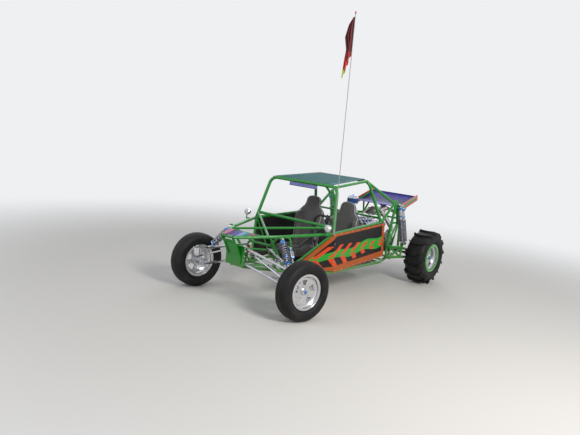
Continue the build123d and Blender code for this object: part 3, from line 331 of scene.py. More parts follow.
# Darts: how many along a metre, their slant, width as a share of the step, and half height in front and behind
DART_COUNT, DART_SLANT, DART_SHARE = 4.2, 1.1, 0.40
DART_HIGH, DART_LOSS, DART_GAP = 0.165, 0.115, 0.010
panel_paint, place = finish("panel_orange", PANEL_ORANGE, 0.34, 0.0, {
    "Coat Weight": 0.04, "Coat Roughness": 0.08, "Specular IOR Level": 0.2,
})
along_y, along_z = axis(place, "Y"), axis(place, "Z")
facing = along_y.node("ShaderNodeNewGeometry", {}, {}, "True Normal")
outer_face = axis(facing, "X") * axis(place, "X") > 0.0
widths_in = [
    ((along_y - y) * inward_y + (along_z - z) * inward_z) / width for y, z, inward_y, inward_z, width in PANEL_EDGES
]
inside = (widths_in[0] & widths_in[1]) & (widths_in[2] & widths_in[3])
middle_line = along_z - BAND_MIDDLE - along_y * BAND_RISE
ripple = along_y.sum("SINE", along_y * BAND_WAVES) * BAND_RIPPLE
band_half = BAND_HALF + BAND_GROWTH * eased(along_y, -0.7, 0.6)
green_band = abs(middle_line - BAND_LIFT - ripple) < band_half
reach = abs(middle_line)
step = (along_y + 0.9 - reach * DART_SLANT) * DART_COUNT
dart_height = DART_HIGH - DART_LOSS * eased(along_y, -0.62, 0.62)
darts = (step.sum("FRACT", step) < DART_SHARE) & (reach < dart_height) & (reach > DART_GAP)
shade = mixed(green_band, PANEL_BLACK, PANEL_GREEN)
shade = mixed(darts, shade, PANEL_RED)
border = mixed(grain(place, 5.0), *BORDER_SHADES)
shade = mixed(inside > 1.0, border, shade)
shade = mixed(outer_face, PANEL_BLACK, shade)
feed(panel_paint, {"Base Color": dusted(place, shade, 0.62, 0.25), "Roughness": 0.28 + grain(place, 20.0) * 0.22})
dress(["side_panels"], panel_paint)

# Small finishes: satin black for brackets and levers, polished steel for arms and pipes, cast metal for
# the engine and gearbox. Each has the unevenness of handling, heat or casting; on the exhaust it is partly a painted
# reflection.
BLACK_SHADES = ((0.016, 0.016, 0.018), (0.055, 0.052, 0.048))
CASTING_SHADES = ((0.09, 0.09, 0.10), (0.34, 0.34, 0.35))
# Exhaust tones: partly heat tint, and partly brown that stands for sand seen in the chrome, a painted reflection
HEAT_AND_REFLECTION_STOPS = [
    (0.0, (0.62, 0.62, 0.64)), (0.50, (0.54, 0.52, 0.48)), (0.62, (0.40, 0.34, 0.28)), (0.75, (0.30, 0.31, 0.36)),
]


def shaded(name, colours, scale, roughness, metallic=0.0, others=(), detail=3.0, gloss=()):
    """A finish by its plain colour and the two shades that it varies between.

    Gloss varies the roughness too: its least value, its spread and the scale of its patches.
    """
    material, place = finish(name, colours[0], roughness, metallic, others)
    tones = {"Base Color": mixed(grain(place, scale, detail), *colours[1:])}
    if gloss:
        least, spread, size = gloss
        tones["Roughness"] = least + grain(place, size, detail) * spread
    feed(material, tones)
    return material


black_steel, place = finish("black_steel", (0.020, 0.020, 0.022), 0.40, 0.0, {"Coat Weight": 0.2})
feed(black_steel, {
    "Base Color": mixed(eased(grain(place, 18.0), 0.55, 0.8), *BLACK_SHADES),
    "Roughness": 0.30 + grain(place, 30.0) * 0.3,
})
dress(["seat_rails", "shift_lever", "pedals", "steering_column"], black_steel)

polished_steel = shaded(
    "polished_steel", ((0.62, 0.63, 0.66), (0.44, 0.45, 0.50), (0.74, 0.75, 0.78)), 16.0, 0.13, 1.0,
    detail=4.0, gloss=(0.08, 0.16, 16.0),
)
dress([
    "front_upper_arms", "front_lower_arms", "steering_rack", "knuckle_left", "knuckle_right", "valve_covers",
    "intake",
], polished_steel)

# Exhaust steel: patches that are partly heat tint and partly a painted reflection of the sand in the chrome
heat_and_reflection_steel, place = finish("heat_and_reflection_steel", (0.50, 0.49, 0.47), 0.22, 1.0)
heat_and_reflection_tone = grain(place, 7.0, 3.0)
feed(heat_and_reflection_steel, {
    "Base Color": heat_and_reflection_tone.node("ShaderNodeValToRGB", {"stops": HEAT_AND_REFLECTION_STOPS}, {0: heat_and_reflection_tone}),
    "Roughness": 0.16 + heat_and_reflection_tone * 0.2,
})
dress(["exhaust_headers", "muffler"], heat_and_reflection_steel)

engine_metal, place = finish("engine_metal", (0.20, 0.20, 0.21), 0.5, 0.8)
casting = grain(place, 260.0, 2.0)
feed(engine_metal, {
    "Base Color": mixed(grain(place, 11.0, 4.0), *CASTING_SHADES),
    "Roughness": 0.38 + casting * 0.25,
})
relief(engine_metal, casting, 0.0010)
dress(["engine_block", "gearbox"], engine_metal)

polished_aluminium = shaded(
    "polished_aluminium", ((0.74, 0.74, 0.75), (0.56, 0.56, 0.59), (0.80, 0.80, 0.82)), 24.0, 0.16, 1.0,
    detail=4.0, gloss=(0.12, 0.18, 24.0),
)
dress([
    "rack_housing", "front_rim_left", "front_rim_right", "rear_rim_left", "rear_rim_right",
], polished_aluminium)

dress(["rear_ring_left", "rear_ring_right"], shaded(
    "ring_green", ((0.06, 0.50, 0.05), (0.045, 0.40, 0.04), (0.09, 0.58, 0.07)), 20.0, 0.3, 0.3,
    {"Coat Weight": 0.5},
))
dress(["half_shaft_left", "half_shaft_right"], shaded(
    "shaft_black", ((0.03, 0.03, 0.03), (0.018, 0.018, 0.020), (0.07, 0.066, 0.06)), 22.0, 0.45, 0.4,
))

# Wing: a sheet blade in three bands across: lavender along the front, a dark striped middle and a violet
# blue rear. The end plates are orange-red with a dark and a green stripe along them.
WING_FRONT = Vector((0, 1.455, 1.091))
WING_REAR = Vector((0, 1.911, 1.226))
WING_BANDS = [
    (0.00, (0.26, 0.26, 0.62)), (0.17, (0.13, 0.13, 0.46)), (0.27, (0.020, 0.020, 0.07)), (0.33, (0.06, 0.06, 0.26)),
    (0.37, (0.014, 0.014, 0.04)), (0.47, (0.045, 0.045, 0.18)), (0.52, (0.014, 0.014, 0.04)),
    (0.64, (0.045, 0.045, 0.22)), (0.80, (0.065, 0.062, 0.32)),
]
END_RED = (0.66, 0.085, 0.025)
# Stripes on the end plates: their ends as shares of the chord, half widths, and the green one's drop and rise
STRIPES_FROM, STRIPES_TO = 0.10, 0.93
DARK_HALF, GREEN_HALF, GREEN_DROP, GREEN_RISE = 0.022, 0.011, 0.006, 0.02
chord = WING_REAR - WING_FRONT


def chord_share(place):
    """How far a place is from the wing's front edge to its rear edge, as a share."""
    along = (axis(place, "Y") - WING_FRONT.y) * chord.y + (axis(place, "Z") - WING_FRONT.z) * chord.z
    return along / chord.length_squared


wing_paint, place = finish("wing_paint", WING_BANDS[0][1], 0.4, 0.0, {"Specular IOR Level": 0.25})
stripe = chord_share(place) + grain(stretched(place, 1.0, 6.0, 6.0), 5.0, 2.0) * 0.05 - 0.025
feed(wing_paint, {
    "Base Color": stripe.node("ShaderNodeValToRGB", {"stops": WING_BANDS}, {0: stripe}),
    "Roughness": 0.34 + grain(place, 22.0) * 0.2,
})
dress(["wing"], wing_paint)

end_paint, place = finish("wing_end_red", END_RED, 0.24, 0.0, {"Coat Weight": 0.7, "Coat Roughness": 0.06})
over_chord = (axis(place, "Z") - WING_FRONT.z) * chord.y - (axis(place, "Y") - WING_FRONT.y) * chord.z
over_chord = over_chord / chord.length
share = chord_share(place)
within = (share > STRIPES_FROM) & (share < STRIPES_TO)
dark_stripe = (abs(over_chord) < DARK_HALF) & within
green_stripe = (abs(over_chord + GREEN_DROP - GREEN_RISE * share) < GREEN_HALF) & within
shade = mixed(green_stripe, mixed(dark_stripe, END_RED, (0.02, 0.015, 0.02)), (0.03, 0.40, 0.05))
feed(end_paint, {"Base Color": shade, "Roughness": 0.18 + grain(place, 22.0) * 0.2})
dress(["wing_end_plates"], end_paint)

# Whip: a thin rod of glass fibre in off-white resin, held upright by a clamp on the frame.
# Sun and sand have left it uneven.
dress(["whip"], shaded(
    "whip_white", ((0.34, 0.35, 0.34), (0.26, 0.27, 0.26), (0.42, 0.43, 0.42)), 8.0, 0.4,
))

# Mirror: one wide strip of glass, tinted blue, in a thin black case of pressed sheet.
# It is clamped under the roof's front tube.
GLASS_MIDDLE, GLASS_HALF, CASE_TOP = 1.4125, 0.0165, 1.437
GLASS_SHADES = ((0.10, 0.12, 0.40), (0.22, 0.25, 0.58))
CASE_BLACK = (0.10, 0.10, 0.13)
mirror_glass, place = finish("mirror_glass", (0.16, 0.18, 0.50), 0.12, 0.30)
case = (abs(axis(place, "Z") - GLASS_MIDDLE) > GLASS_HALF) | (axis(place, "Z") > CASE_TOP)
feed(mirror_glass, {
    "Base Color": mixed(case, mixed(grain(place, 9.0), *GLASS_SHADES), CASE_BLACK),
    "Roughness": 0.08 + grain(place, 14.0) * 0.2,
})
dress(["mirror"], mirror_glass)

# Lamps: bowls spun from sheet steel and chrome plated, each on a short post.
# The plating is close to a mirror, with faint marks of handling.
lamp_chrome, place = finish("lamp_chrome", (0.80, 0.80, 0.82), 0.08, 1.0)
feed(lamp_chrome, {"Roughness": 0.05 + grain(place, 30.0) * 0.1})
dress(["headlamps"], lamp_chrome)

# Hand wheel: a round grip wound with black leather, flat steel spokes and a hub with its bolts.
# One material does for both: it is leather from a distance out from the hub, and bare steel nearer in.
WHEEL_MIDDLE = Vector((0.290, -0.410, 0.905))
WHEEL_GRIP_FROM = 0.138
grip_leather, place = finish("grip", (0.022, 0.020, 0.020), 0.6)
from_hub = place.node("ShaderNodeVectorMath", {"operation": "DISTANCE"}, {0: place, 1: WHEEL_MIDDLE}, 1)
bare = from_hub < WHEEL_GRIP_FROM
pebbles = place.node("ShaderNodeTexVoronoi", {}, {"Vector": place, "Scale": 420.0})
feed(grip_leather, {
    "Base Color": mixed(bare, (0.022, 0.020, 0.020), (0.40, 0.41, 0.43)),
    "Metallic": bare * 0.9,
    "Roughness": 0.62 - bare * 0.35,
})
relief(grip_leather, pebbles * (1.0 - bare), 0.0006)
dress(["steering_wheel"], grip_leather)

# Tyres: black rubber. The front pair is smooth with a few grooves round the crown, moulded in one piece.
# The rear pair is a sand tyre: a smooth carcass with cupped paddles bonded across it.
FRONT_TYRE_R = 0.345
REAR_TYRE_R = 0.400
REAR_TYRE_HALF = 0.152
BEAD_R = 0.1903
TYRE_SIDES = 96
SIDES = (("left", 1), ("right", -1))
KINGPIN_X = 0.788
FRONT_AXLE_Y, REAR_AXLE_Y = -1.550, 1.577
FRONT_TRACK_HALF, REAR_TRACK_HALF = 0.874, 0.803
REST_STEER = math.radians(-11.4)
PADDLES = 14
PADDLE_CUP = 0.190
PADDLE_T = 0.013
PADDLE_ROOT = 0.304
PADDLE_DEEP = 0.025
# Slanting cut at a paddle's outer corners: how far in from its end and down from its crown, and its direction
CORNER_IN, CORNER_DOWN, CORNER_FACING = 0.006, 0.040, (0.8, 0.6)
# Columns: place along the axle, radius, for the half towards the outer face
FRONT_TYRE_SHAPE = [
    (0.0625, BEAD_R), (0.0628, 0.2120), (0.0700, 0.2170), (0.0820, 0.2270), (0.0900, 0.2400), (0.0950, 0.2560),
    (0.0975, 0.2740), (0.0980, 0.2850), (0.0990, 0.2860), (0.0990, 0.2880), (0.0978, 0.2892), (0.0960, 0.3020),
    (0.0920, 0.3160), (0.0850, 0.3270), (0.0740, 0.3355), (0.0600, 0.3405), (0.0470, 0.3428), (0.0460, 0.3395),
    (0.0420, 0.3395), (0.0410, 0.3436), (0.0210, 0.3448), (0.0200, 0.3412), (0.0165, 0.3412), (0.0155, 0.3450),
]
REAR_TYRE_SHAPE = [
    (0.1165, BEAD_R), (0.1168, 0.2120), (0.1240, 0.2180), (0.1350, 0.2290), (0.1440, 0.2450), (0.1490, 0.2620),
    (0.1510, 0.2800), (0.1515, 0.2870), (0.1530, 0.2880), (0.1530, 0.2900), (0.1515, 0.2912), (0.1500, 0.3080),
    (0.1450, 0.3260), (0.1350, 0.3430), (0.1200, 0.3560), (0.1000, 0.3650), (0.0700, 0.3695), (0.0350, 0.3715),
]


def pick_none():
    """Deselect everything, because an operator works on all that is selected."""
    bpy.ops.object.select_all(action="DESELECT")


def pick(piece):
    """Select one piece alone."""
    pick_none()
    piece.select_set(True)
    bpy.context.view_layer.objects.active = piece


def settled(name):
    """Name what an operator has just made, and lay its place into its mesh."""
    piece = bpy.context.object
    piece.name = name
    bpy.ops.object.transform_apply(location=True, rotation=True, scale=True)
    return piece


def leave_edit():
    """Go back from edit mode."""
    bpy.ops.object.mode_set(mode="OBJECT")


def edit_where(piece, test, kind="VERT"):
    """Enter edit mode with the points selected that pass a test, or the faces."""
    pick(piece)
    bpy.ops.object.mode_set(mode="EDIT")
    bpy.ops.mesh.select_mode(type=kind)
    bpy.ops.mesh.select_all(action="DESELECT")
    leave_edit()
    for part in piece.data.polygons if kind == "FACE" else piece.data.vertices:
        part.select = test(part)
    bpy.ops.object.mode_set(mode="EDIT")


def turned(name, shape, sides, ends="capped"):
    """A piece turned about the X axis from (along, radius) points: a ring that is drawn on and sized."""
    pick_none()
    start, radius = shape[0]
    bpy.ops.mesh.primitive_circle_add(
        vertices=sides, radius=radius, location=(start, 0, 0), rotation=(0, math.pi / 2, 0),
        fill_type="NGON" if ends == "capped" else "NOTHING",
    )
    piece = settled(name)
    bpy.ops.object.mode_set(mode="EDIT")
    extrude = bpy.ops.mesh.extrude_edges_move
    if ends == "capped":
        bpy.ops.mesh.select_all(action="SELECT")
        extrude = bpy.ops.mesh.extrude_region_move
    for (x0, r0), (x1, r1) in zip(shape, shape[1:]):
        extrude(TRANSFORM_OT_translate={"value": (x1 - x0, 0, 0)})
        bpy.ops.transform.resize(value=(1.0, r1 / r0, r1 / r0))
    bpy.ops.mesh.select_all(action="SELECT")
    bpy.ops.mesh.remove_doubles(threshold=0.00002)
    bpy.ops.mesh.normals_make_consistent(inside=False)
    leave_edit()
    return piece


def smooth(piece, angle):
    """Smooth shading, with edges sharper than the angle left crisp."""
    pick(piece)
    bpy.ops.object.shade_smooth_by_angle(angle=math.radians(angle))


def put(piece, place, name):
    """A copy of a piece that was made at the origin, with its place in its mesh."""
    pick(piece)
    bpy.ops.object.duplicate(linked=False)
    copy = bpy.context.object
    copy.name = name
    copy.data.transform(place)
    if place.determinant() < 0:
        copy.data.flip_normals()
    return copy


def fit(piece, body, slot, material, *nodes):
    """Give a finished piece its material and its body, and hide the CAD parts that it stands for. The slot is not
    used.
    """
    piece.data.materials.clear()
    piece.data.materials.append(material)
    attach(piece, body)
    if nodes:
        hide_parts(*nodes)
    return piece


def merge(name, pieces):
    """One piece from several of one material."""
    pick_none()
    for piece in pieces:
        piece.select_set(True)
    bpy.context.view_layer.objects.active = pieces[0]
    bpy.ops.object.join()
    merged = bpy.context.object
    merged.name = name
    return merged


def wheel_place(axle, side):
    """Where a wheel made about the X axis stands; the front pair is steered about its kingpins."""
    flip = Matrix.Scale(side, 4, (1, 0, 0))
    if axle == "rear":
        return Matrix.Translation((side * REAR_TRACK_HALF, REAR_AXLE_Y, REAR_TYRE_R)) @ flip
    kingpin = Vector((side * KINGPIN_X, FRONT_AXLE_Y, 0))
    straight = Matrix.Translation((side * FRONT_TRACK_HALF, FRONT_AXLE_Y, FRONT_TYRE_R)) @ flip
    steer = Matrix.Translation(kingpin) @ Matrix.Rotation(REST_STEER, 4, "Z") @ Matrix.Translation(-kingpin)
    return steer @ straight


def on_both_wheels(piece, axle, kind, slot, material, node=None):
    """Copies of a part on an axle's left and right wheels, and the first one used up."""
    for name, side in SIDES:
        copy = put(piece, wheel_place(axle, side), f"{axle}_{kind}_{name}")
        nodes = [f"{axle}_{node}_{name}"] if node else []
        fit(copy, f"{axle}_wheel_{name}", slot, material, *nodes)
    bpy.data.objects.remove(piece)


tyre_rubber, place = finish("tyre_rubber", (0.020, 0.020, 0.021), 0.62, 0.0, {"Specular IOR Level": 0.28})
sidewall = grain(place, 6.0, 4.0)
feed(tyre_rubber, {
    "Base Color": mixed(eased(sidewall, 0.45, 0.85), (0.007, 0.007, 0.008), (0.032, 0.029, 0.026)),
    "Roughness": 0.44 + grain(place, 12.0) * 0.25,
})
relief(tyre_rubber, grain(place, 300.0, 2.0), 0.0006)

tyres = {}
for axle, shape in (("front", FRONT_TYRE_SHAPE), ("rear", REAR_TYRE_SHAPE)):
    ring = shape + [(-x, r) for x, r in reversed(shape)] + shape[:1]
    tyres[axle] = turned(f"{axle}_tyre", ring, TYRE_SIDES, "joined")
    smooth(tyres[axle], 30.0)

pick_none()
cup_middle = PADDLE_CUP - PADDLE_DEEP
bpy.ops.mesh.primitive_circle_add(vertices=72, radius=PADDLE_CUP, location=(0, cup_middle, PADDLE_ROOT))
paddle = settled("paddle")
edit_where(paddle, lambda point: abs(point.co.x) > REAR_TYRE_HALF or point.co.y > cup_middle)
bpy.ops.mesh.delete(type="VERT")
bpy.ops.mesh.select_all(action="SELECT")
bpy.ops.mesh.extrude_edges_move(TRANSFORM_OT_translate={"value": (0, 0, REAR_TYRE_R - PADDLE_ROOT)})
for side in (1, -1):
    bpy.ops.mesh.select_all(action="SELECT")
    bpy.ops.mesh.bisect(
        plane_co=(side * (REAR_TYRE_HALF - CORNER_IN), 0, REAR_TYRE_R - CORNER_DOWN),
        plane_no=(side * CORNER_FACING[0], 0, CORNER_FACING[1]), clear_outer=True,
    )
leave_edit()
solidify = paddle.modifiers.new("wall", "SOLIDIFY")
solidify.thickness = PADDLE_T
solidify.offset = 1.0
bevel = paddle.modifiers.new("edge", "BEVEL")
bevel.width = 0.003
bevel.segments = 2
bevel.limit_method = "ANGLE"
for modifier in ("wall", "edge"):
    bpy.ops.object.modifier_apply(modifier=modifier)
smooth(paddle, 40.0)
paddles = [
    put(paddle, Matrix.Rotation(math.pi + 2 * math.pi * i / PADDLES, 4, "X"), f"paddle_{i}") for i in range(PADDLES)
]
bpy.data.objects.remove(paddle)
tyres["rear"] = merge("rear_tyre", [tyres["rear"]] + paddles)
for axle, tyre in tyres.items():
    on_both_wheels(tyre, axle, "tyre_rubber", "tyre_rubber", tyre_rubber, "tyre")

# Seats: two bucket seats, each a raked back with side bolsters and a narrow head, and a cushion with raised
# sides. Foam in charcoal cloth over a thin shell, with silver grey piping sewn along the edge.
SEAT_X = 0.290
SEAT_FOOT = Vector((0, -0.010, 0.400))
SEAT_LEAN = math.radians(-9.0)
BACK_T = 0.040
BACK_FRONT = -0.006
BACK_FOOT = 0.010
BACK_BOLSTER = 0.066
BOLSTER_FROM = 0.148
BOLSTER_CLOSED = 0.88
SHOULDER = 0.59
SEAT_VOXEL = 0.008
SEAT_SWELL = 0.015
SWELL_FRAMES = 20
PIPING_R = 0.0055
# Columns: height above the foot, half width
BACK_SHAPE = [
    (0.030, 0.190), (0.300, 0.204), (0.450, 0.217), (0.540, 0.222), (0.590, 0.216), (0.625, 0.200), (0.652, 0.174),
    (0.672, 0.150), (0.690, 0.134), (0.712, 0.128), (0.745, 0.127), (0.775, 0.120), (0.800, 0.105), (0.820, 0.081),
    (0.832, 0.046),
]
# Lowest and highest corners of the cushion and of its raised sides
CUSHION = (Vector((-0.188, -0.452, 0.414)), Vector((0.188, -0.012, 0.476)))
CUSHION_SIDE_TOP = 0.536
CUSHION_SIDE_FROM = 0.128
SEAM_OUT = 0.020


def blocked(name, low, high):
    """A block from its lowest to its highest corner."""
    pick_none()
    bpy.ops.mesh.primitive_cube_add(size=1.0, location=(low + high) / 2, scale=high - low)
    return settled(name)


def edit_all():
    """Enter edit mode on the picked piece with all of it selected."""
    bpy.ops.object.mode_set(mode="EDIT")
    bpy.ops.mesh.select_all(action="SELECT")


def split_sides(piece, away):
    """Cut a piece's faces across at both sides of its middle, with all of it kept."""
    pick(piece)
    for side in (1, -1):
        edit_all()
        bpy.ops.mesh.bisect(plane_co=(side * away, 0, 0), plane_no=(1, 0, 0))
        leave_edit()


def draw_out(piece, test, move):
    """Draw out the faces that pass a test, and stay in edit mode with them selected."""
    edit_where(piece, test, "FACE")
    bpy.ops.mesh.extrude_region_move(TRANSFORM_OT_translate={"value": move})


def swell(piece):
    """Stuff a pad: even out its mesh, blow its cover up, and hold each point near where it started."""
    pick(piece)
    piece.data.remesh_voxel_size = SEAT_VOXEL
    bpy.ops.object.voxel_remesh()
    edit_all()
    bpy.ops.mesh.vertices_smooth(factor=0.5, repeat=5)
    leave_edit()
    starts = [point.co.copy() for point in piece.data.vertices]
    cover = piece.modifiers.new("cover", "CLOTH")
    cover.settings.use_pressure = True
    cover.settings.uniform_pressure_force = 4.0
    cover.settings.effector_weights.gravity = 0.0
    cover.point_cache.frame_start = 1
    cover.point_cache.frame_end = SWELL_FRAMES
    for moment in range(1, SWELL_FRAMES + 1):
        bpy.context.scene.frame_set(moment)
    bpy.ops.object.modifier_apply(modifier="cover")
    bpy.context.scene.frame_set(1)
    for point, start in zip(piece.data.vertices, starts):
        move = point.co - start
        if move.length > SEAT_SWELL:
            point.co = start + move.normalized() * SEAT_SWELL
    edit_all()
    bpy.ops.mesh.vertices_smooth(factor=0.5, repeat=3)
    leave_edit()
    finer = piece.modifiers.new("finer", "SUBSURF")
    finer.levels = finer.render_levels = 1
    bpy.ops.object.modifier_apply(modifier="finer")
    bpy.ops.object.shade_smooth()


def tube(name, points, radius, closed=False, order=4):
    """A round tube or wire on one smooth line past its points."""
    pick_none()
    bpy.ops.curve.primitive_nurbs_path_add()
    curve = bpy.context.object.data
    line = curve.splines[0]
    line.points.add(len(points) - len(line.points))
    for knot, point in zip(line.points, points):
        knot.co = (*point, 1.0)
    line.order_u = min(order, len(points))
    line.use_cyclic_u = closed
    line.use_endpoint_u = not closed
    curve.bevel_depth = radius
    curve.bevel_resolution = 2
    curve.resolution_u = 6
    curve.use_fill_caps = not closed
    bpy.ops.object.convert(target="MESH")
    return settled(name)


back_low, back_half = BACK_SHAPE[0]
back = blocked(
    "back", Vector((-back_half, BACK_FRONT, BACK_FOOT)), Vector((back_half, BACK_FRONT + BACK_T, back_low)),
)
edit_where(back, lambda face: face.normal.z > 0.9, "FACE")
for (z0, w0), (z1, w1) in zip(BACK_SHAPE, BACK_SHAPE[1:]):
    bpy.ops.mesh.extrude_region_move(TRANSFORM_OT_translate={"value": (0, 0, z1 - z0)})
    bpy.ops.transform.resize(value=(w1 / w0, 1.0, 1.0))
leave_edit()
split_sides(back, BOLSTER_FROM)
draw_out(back, lambda face: (
    face.normal.y < -0.9 and abs(face.center.x) > BOLSTER_FROM and face.center.z < SHOULDER
), (0, -BACK_BOLSTER, 0))
bpy.ops.transform.resize(value=(1.0, 1.0, BOLSTER_CLOSED))
leave_edit()
swell(back)

cushion = blocked("cushion", *CUSHION)
split_sides(cushion, CUSHION_SIDE_FROM)
draw_out(
    cushion, lambda face: face.normal.z > 0.9 and abs(face.center.x) > CUSHION_SIDE_FROM,
    (0, 0, CUSHION_SIDE_TOP - CUSHION[1].z),
)
leave_edit()
swell(cushion)

edge_left = []
for height, half in BACK_SHAPE:
    bolster = BACK_BOLSTER if height < SHOULDER + 0.01 else 0.0
    edge_left.append((half + SEAM_OUT, BACK_FRONT - bolster - SEAM_OUT, height))
edge_left.append((0.020, BACK_FRONT - SEAM_OUT, BACK_SHAPE[-1][0] + 0.030))
edge = edge_left + [(-x, y, z) for x, y, z in reversed(edge_left)]
seam = [back.closest_point_on_mesh(Vector(point))[1] for point in edge]
back_piping = tube("back_piping", seam, PIPING_R, order=3)

seat_cloth, place = finish("seat_cover", (0.060, 0.060, 0.064), 0.80, 0.0, {
    "Sheen Weight": 0.25, "Sheen Roughness": 0.5,
})
weave = grain(place, 850.0, 1.0)
worn = grain(place, 7.0, 4.0)
feed(seat_cloth, {
    "Base Color": mixed(worn * 0.75 + weave * 0.25, (0.052, 0.050, 0.052), (0.150, 0.145, 0.145)),
    "Roughness": 0.70 + weave * 0.2,
})
relief(seat_cloth, weave * 0.6 + grain(place, 60.0, 2.0) * 0.4, 0.0010)

piping_cloth, place = finish("seat_piping", (0.46, 0.47, 0.50), 0.45, 0.0, {"Specular IOR Level": 0.4})
feed(piping_cloth, {"Base Color": mixed(grain(place, 40.0), (0.34, 0.35, 0.38), (0.58, 0.59, 0.62))})
relief(piping_cloth, grain(place, 500.0, 2.0), 0.0005)

lean = Matrix.Translation(SEAT_FOOT) @ Matrix.Rotation(SEAT_LEAN, 4, "X")
back.data.transform(lean)
back_piping.data.transform(lean)
for node, side in (("driver", 1), ("passenger", -1)):
    at = Matrix.Translation((side * SEAT_X, 0, 0)) @ Matrix.Scale(side, 4, (1, 0, 0))
    for source, kind in ((back, "back"), (cushion, "cushion")):
        pad = fit(put(source, at, f"seat_{kind}_{node}"), "chassis", "seat_cover", seat_cloth, f"seat_{node}")
    fit(put(back_piping, at, f"seat_piping_{node}"), "chassis", "seat_cover", piping_cloth)
for source in (back, cushion, back_piping):
    bpy.data.objects.remove(source)

# Dampers: in front, a coil-over with a blue cap and a slim second damper with outer pipes; behind, two long
# dampers side by side. Bodies are polished steel, caps are blue anodised aluminium, the coils spring steel.
CAP_BLUE = (0.050, 0.190, 0.520)
FRONT_WIRE, REAR_WIRE = 0.0065, 0.0050
EYE_HALF, EYE_BORE, EYE_OUT = 0.015, 0.0094, 0.020
SHAFT_R = 0.0095
# Each left damper's line, from its top eye to its low one
FRONT_COIL = (Vector((0.410, -1.440, 0.840)), Vector((0.640, -1.548, 0.543)))
SECOND_DAMPER = (Vector((0.494, -1.383, 0.746)), Vector((0.650, -1.480, 0.574)))
REAR_X = 0.606
REAR_DAMPERS = (
    (Vector((REAR_X, 0.985, 1.168)), Vector((REAR_X, 1.195, 0.590))),
    (Vector((REAR_X, 1.067, 1.1475)), Vector((REAR_X, 1.277, 0.590))),
)
# Shares of the front coil-over's length: foot and top of the ring over the coil, the coil's ends, its seat
RING_FOOT, RING_TOP, COIL_TOP, COIL_LOW, COIL_SEAT = 0.145, 0.148, 0.178, 0.788, 0.800
# Outer pipes: their turns about the damper, and how far their ends and their length stand from its axis
PIPE_TURNS = (-0.9, 0.0, 0.9)
PIPE_END, PIPE_AWAY = 0.018, 0.0275


def coil(name, start, end, radius, wire, turns):
    """A spring wound about the X axis: a ring of wire that is screwed along."""
    pick_none()
    bpy.ops.mesh.primitive_circle_add(
        vertices=8, radius=wire, location=(start, 0, radius), rotation=(math.pi / 2, 0, 0),
    )
    piece = settled(name)
    screw = piece.modifiers.new("winding", "SCREW")
    screw.axis = "X"
    screw.iterations = turns
    screw.screw_offset = (end - start) / turns
    screw.steps = screw.render_steps = 20
    bpy.ops.object.modifier_apply(modifier="winding")
    edit_all()
    bpy.ops.mesh.remove_doubles(threshold=0.00001)
    bpy.ops.mesh.fill_holes(sides=0)
    bpy.ops.mesh.select_all(action="SELECT")
    bpy.ops.mesh.normals_make_consistent(inside=False)
    leave_edit()
    smooth(piece, 60.0)
    return piece


def eye(name, along):
    """A damper's end eye, bored across."""
    corner = (-EYE_HALF, EYE_BORE)
    ring = [corner, (-EYE_HALF, EYE_OUT), (EYE_HALF, EYE_OUT), (EYE_HALF, EYE_BORE), corner]
    piece = turned(name, ring, 32, "joined")
    piece.data.transform(Matrix.Translation((along, 0, 0)) @ Matrix.Rotation(math.pi / 2, 4, "Z"))
    smooth(piece, 40.0)
    return piece


def round_part(name, shape, sides=32, start=0.0):
    """A turned part with crisp edges, whose (along, radius) points are counted from its start."""
    piece = turned(name, [(start + along, radius) for along, radius in shape], sides)
    smooth(piece, 40.0)
    return piece


def aimed(start, end, flat):
    """Turns the X axis to the line from start to end, and the Y axis as near as it goes to flat."""
    along = (end - start).normalized()
    side = (flat - along * flat.dot(along)).normalized()
    turn = Matrix((along, side, along.cross(side))).transposed().to_4x4()
    return Matrix.Translation(start) @ turn


def on_both_sides(piece, name, slot, material, *nodes, at=Matrix()):
    """Copies of a chassis piece on the left and, mirrored, on the right, and the first one used up."""
    for side_name, side in SIDES:
        copy = put(piece, Matrix.Scale(side, 4, (1, 0, 0)) @ at, f"{name}_{side_name}")
        fit(copy, "chassis", slot, material, *nodes)
    bpy.data.objects.remove(piece)


def damper_parts(length, body_r, body_end, cap_r):
    """The polished body with its eyes and shaft, and the blue caps at both ends of the body."""
    metal = merge("damper", [
        eye("eye_top", 0.0), eye("eye_low", length),
        round_part("body", [
            (0.015, 0.012), (0.034, 0.012), (0.036, body_r - 0.003), (0.039, body_r), (body_end - 0.003, body_r),
            (body_end, body_r - 0.003),
        ]),
        round_part("shaft", [(body_end - 0.005, SHAFT_R), (length - EYE_OUT + 0.004, SHAFT_R)]),
    ])
    caps = merge("caps", [
        round_part("cap", [
            (0.030, cap_r - 0.004), (0.033, cap_r), (0.052, cap_r), (0.055, cap_r - 0.003), (0.056, cap_r - 0.003),
        ]),
        round_part("gland", [
            (-0.024, body_r + 0.001), (-0.022, body_r + 0.003), (-0.004, body_r + 0.003), (0.001, body_r - 0.001),
        ], start=body_end),
    ])
    return metal, caps


def fit_damper(axle, number, node, at, metal, caps, spring=None):
    """Put a damper's pieces on both sides."""
    on_both_sides(metal, f"{axle}_damper{number}", "polished_steel", polished_steel, node, at=at)
    on_both_sides(caps, f"{axle}_damper_caps{number}", "polished_aluminium", cap_blue, node, at=at)
    if spring:
        on_both_sides(spring, f"{axle}_spring{number}", "polished_steel", spring_steel, node, at=at)


cap_blue = shaded(
    "cap_blue", (CAP_BLUE, (0.040, 0.150, 0.440), (0.100, 0.300, 0.640)), 40.0, 0.22, 0.85, {"Coat Weight": 0.3},
    gloss=(0.16, 0.2, 60.0),
)
spring_steel = shaded(
    "spring_steel", ((0.16, 0.16, 0.18), (0.10, 0.10, 0.12), (0.34, 0.34, 0.38)), 30.0, 0.28, 0.9,
    gloss=(0.20, 0.2, 50.0),
)

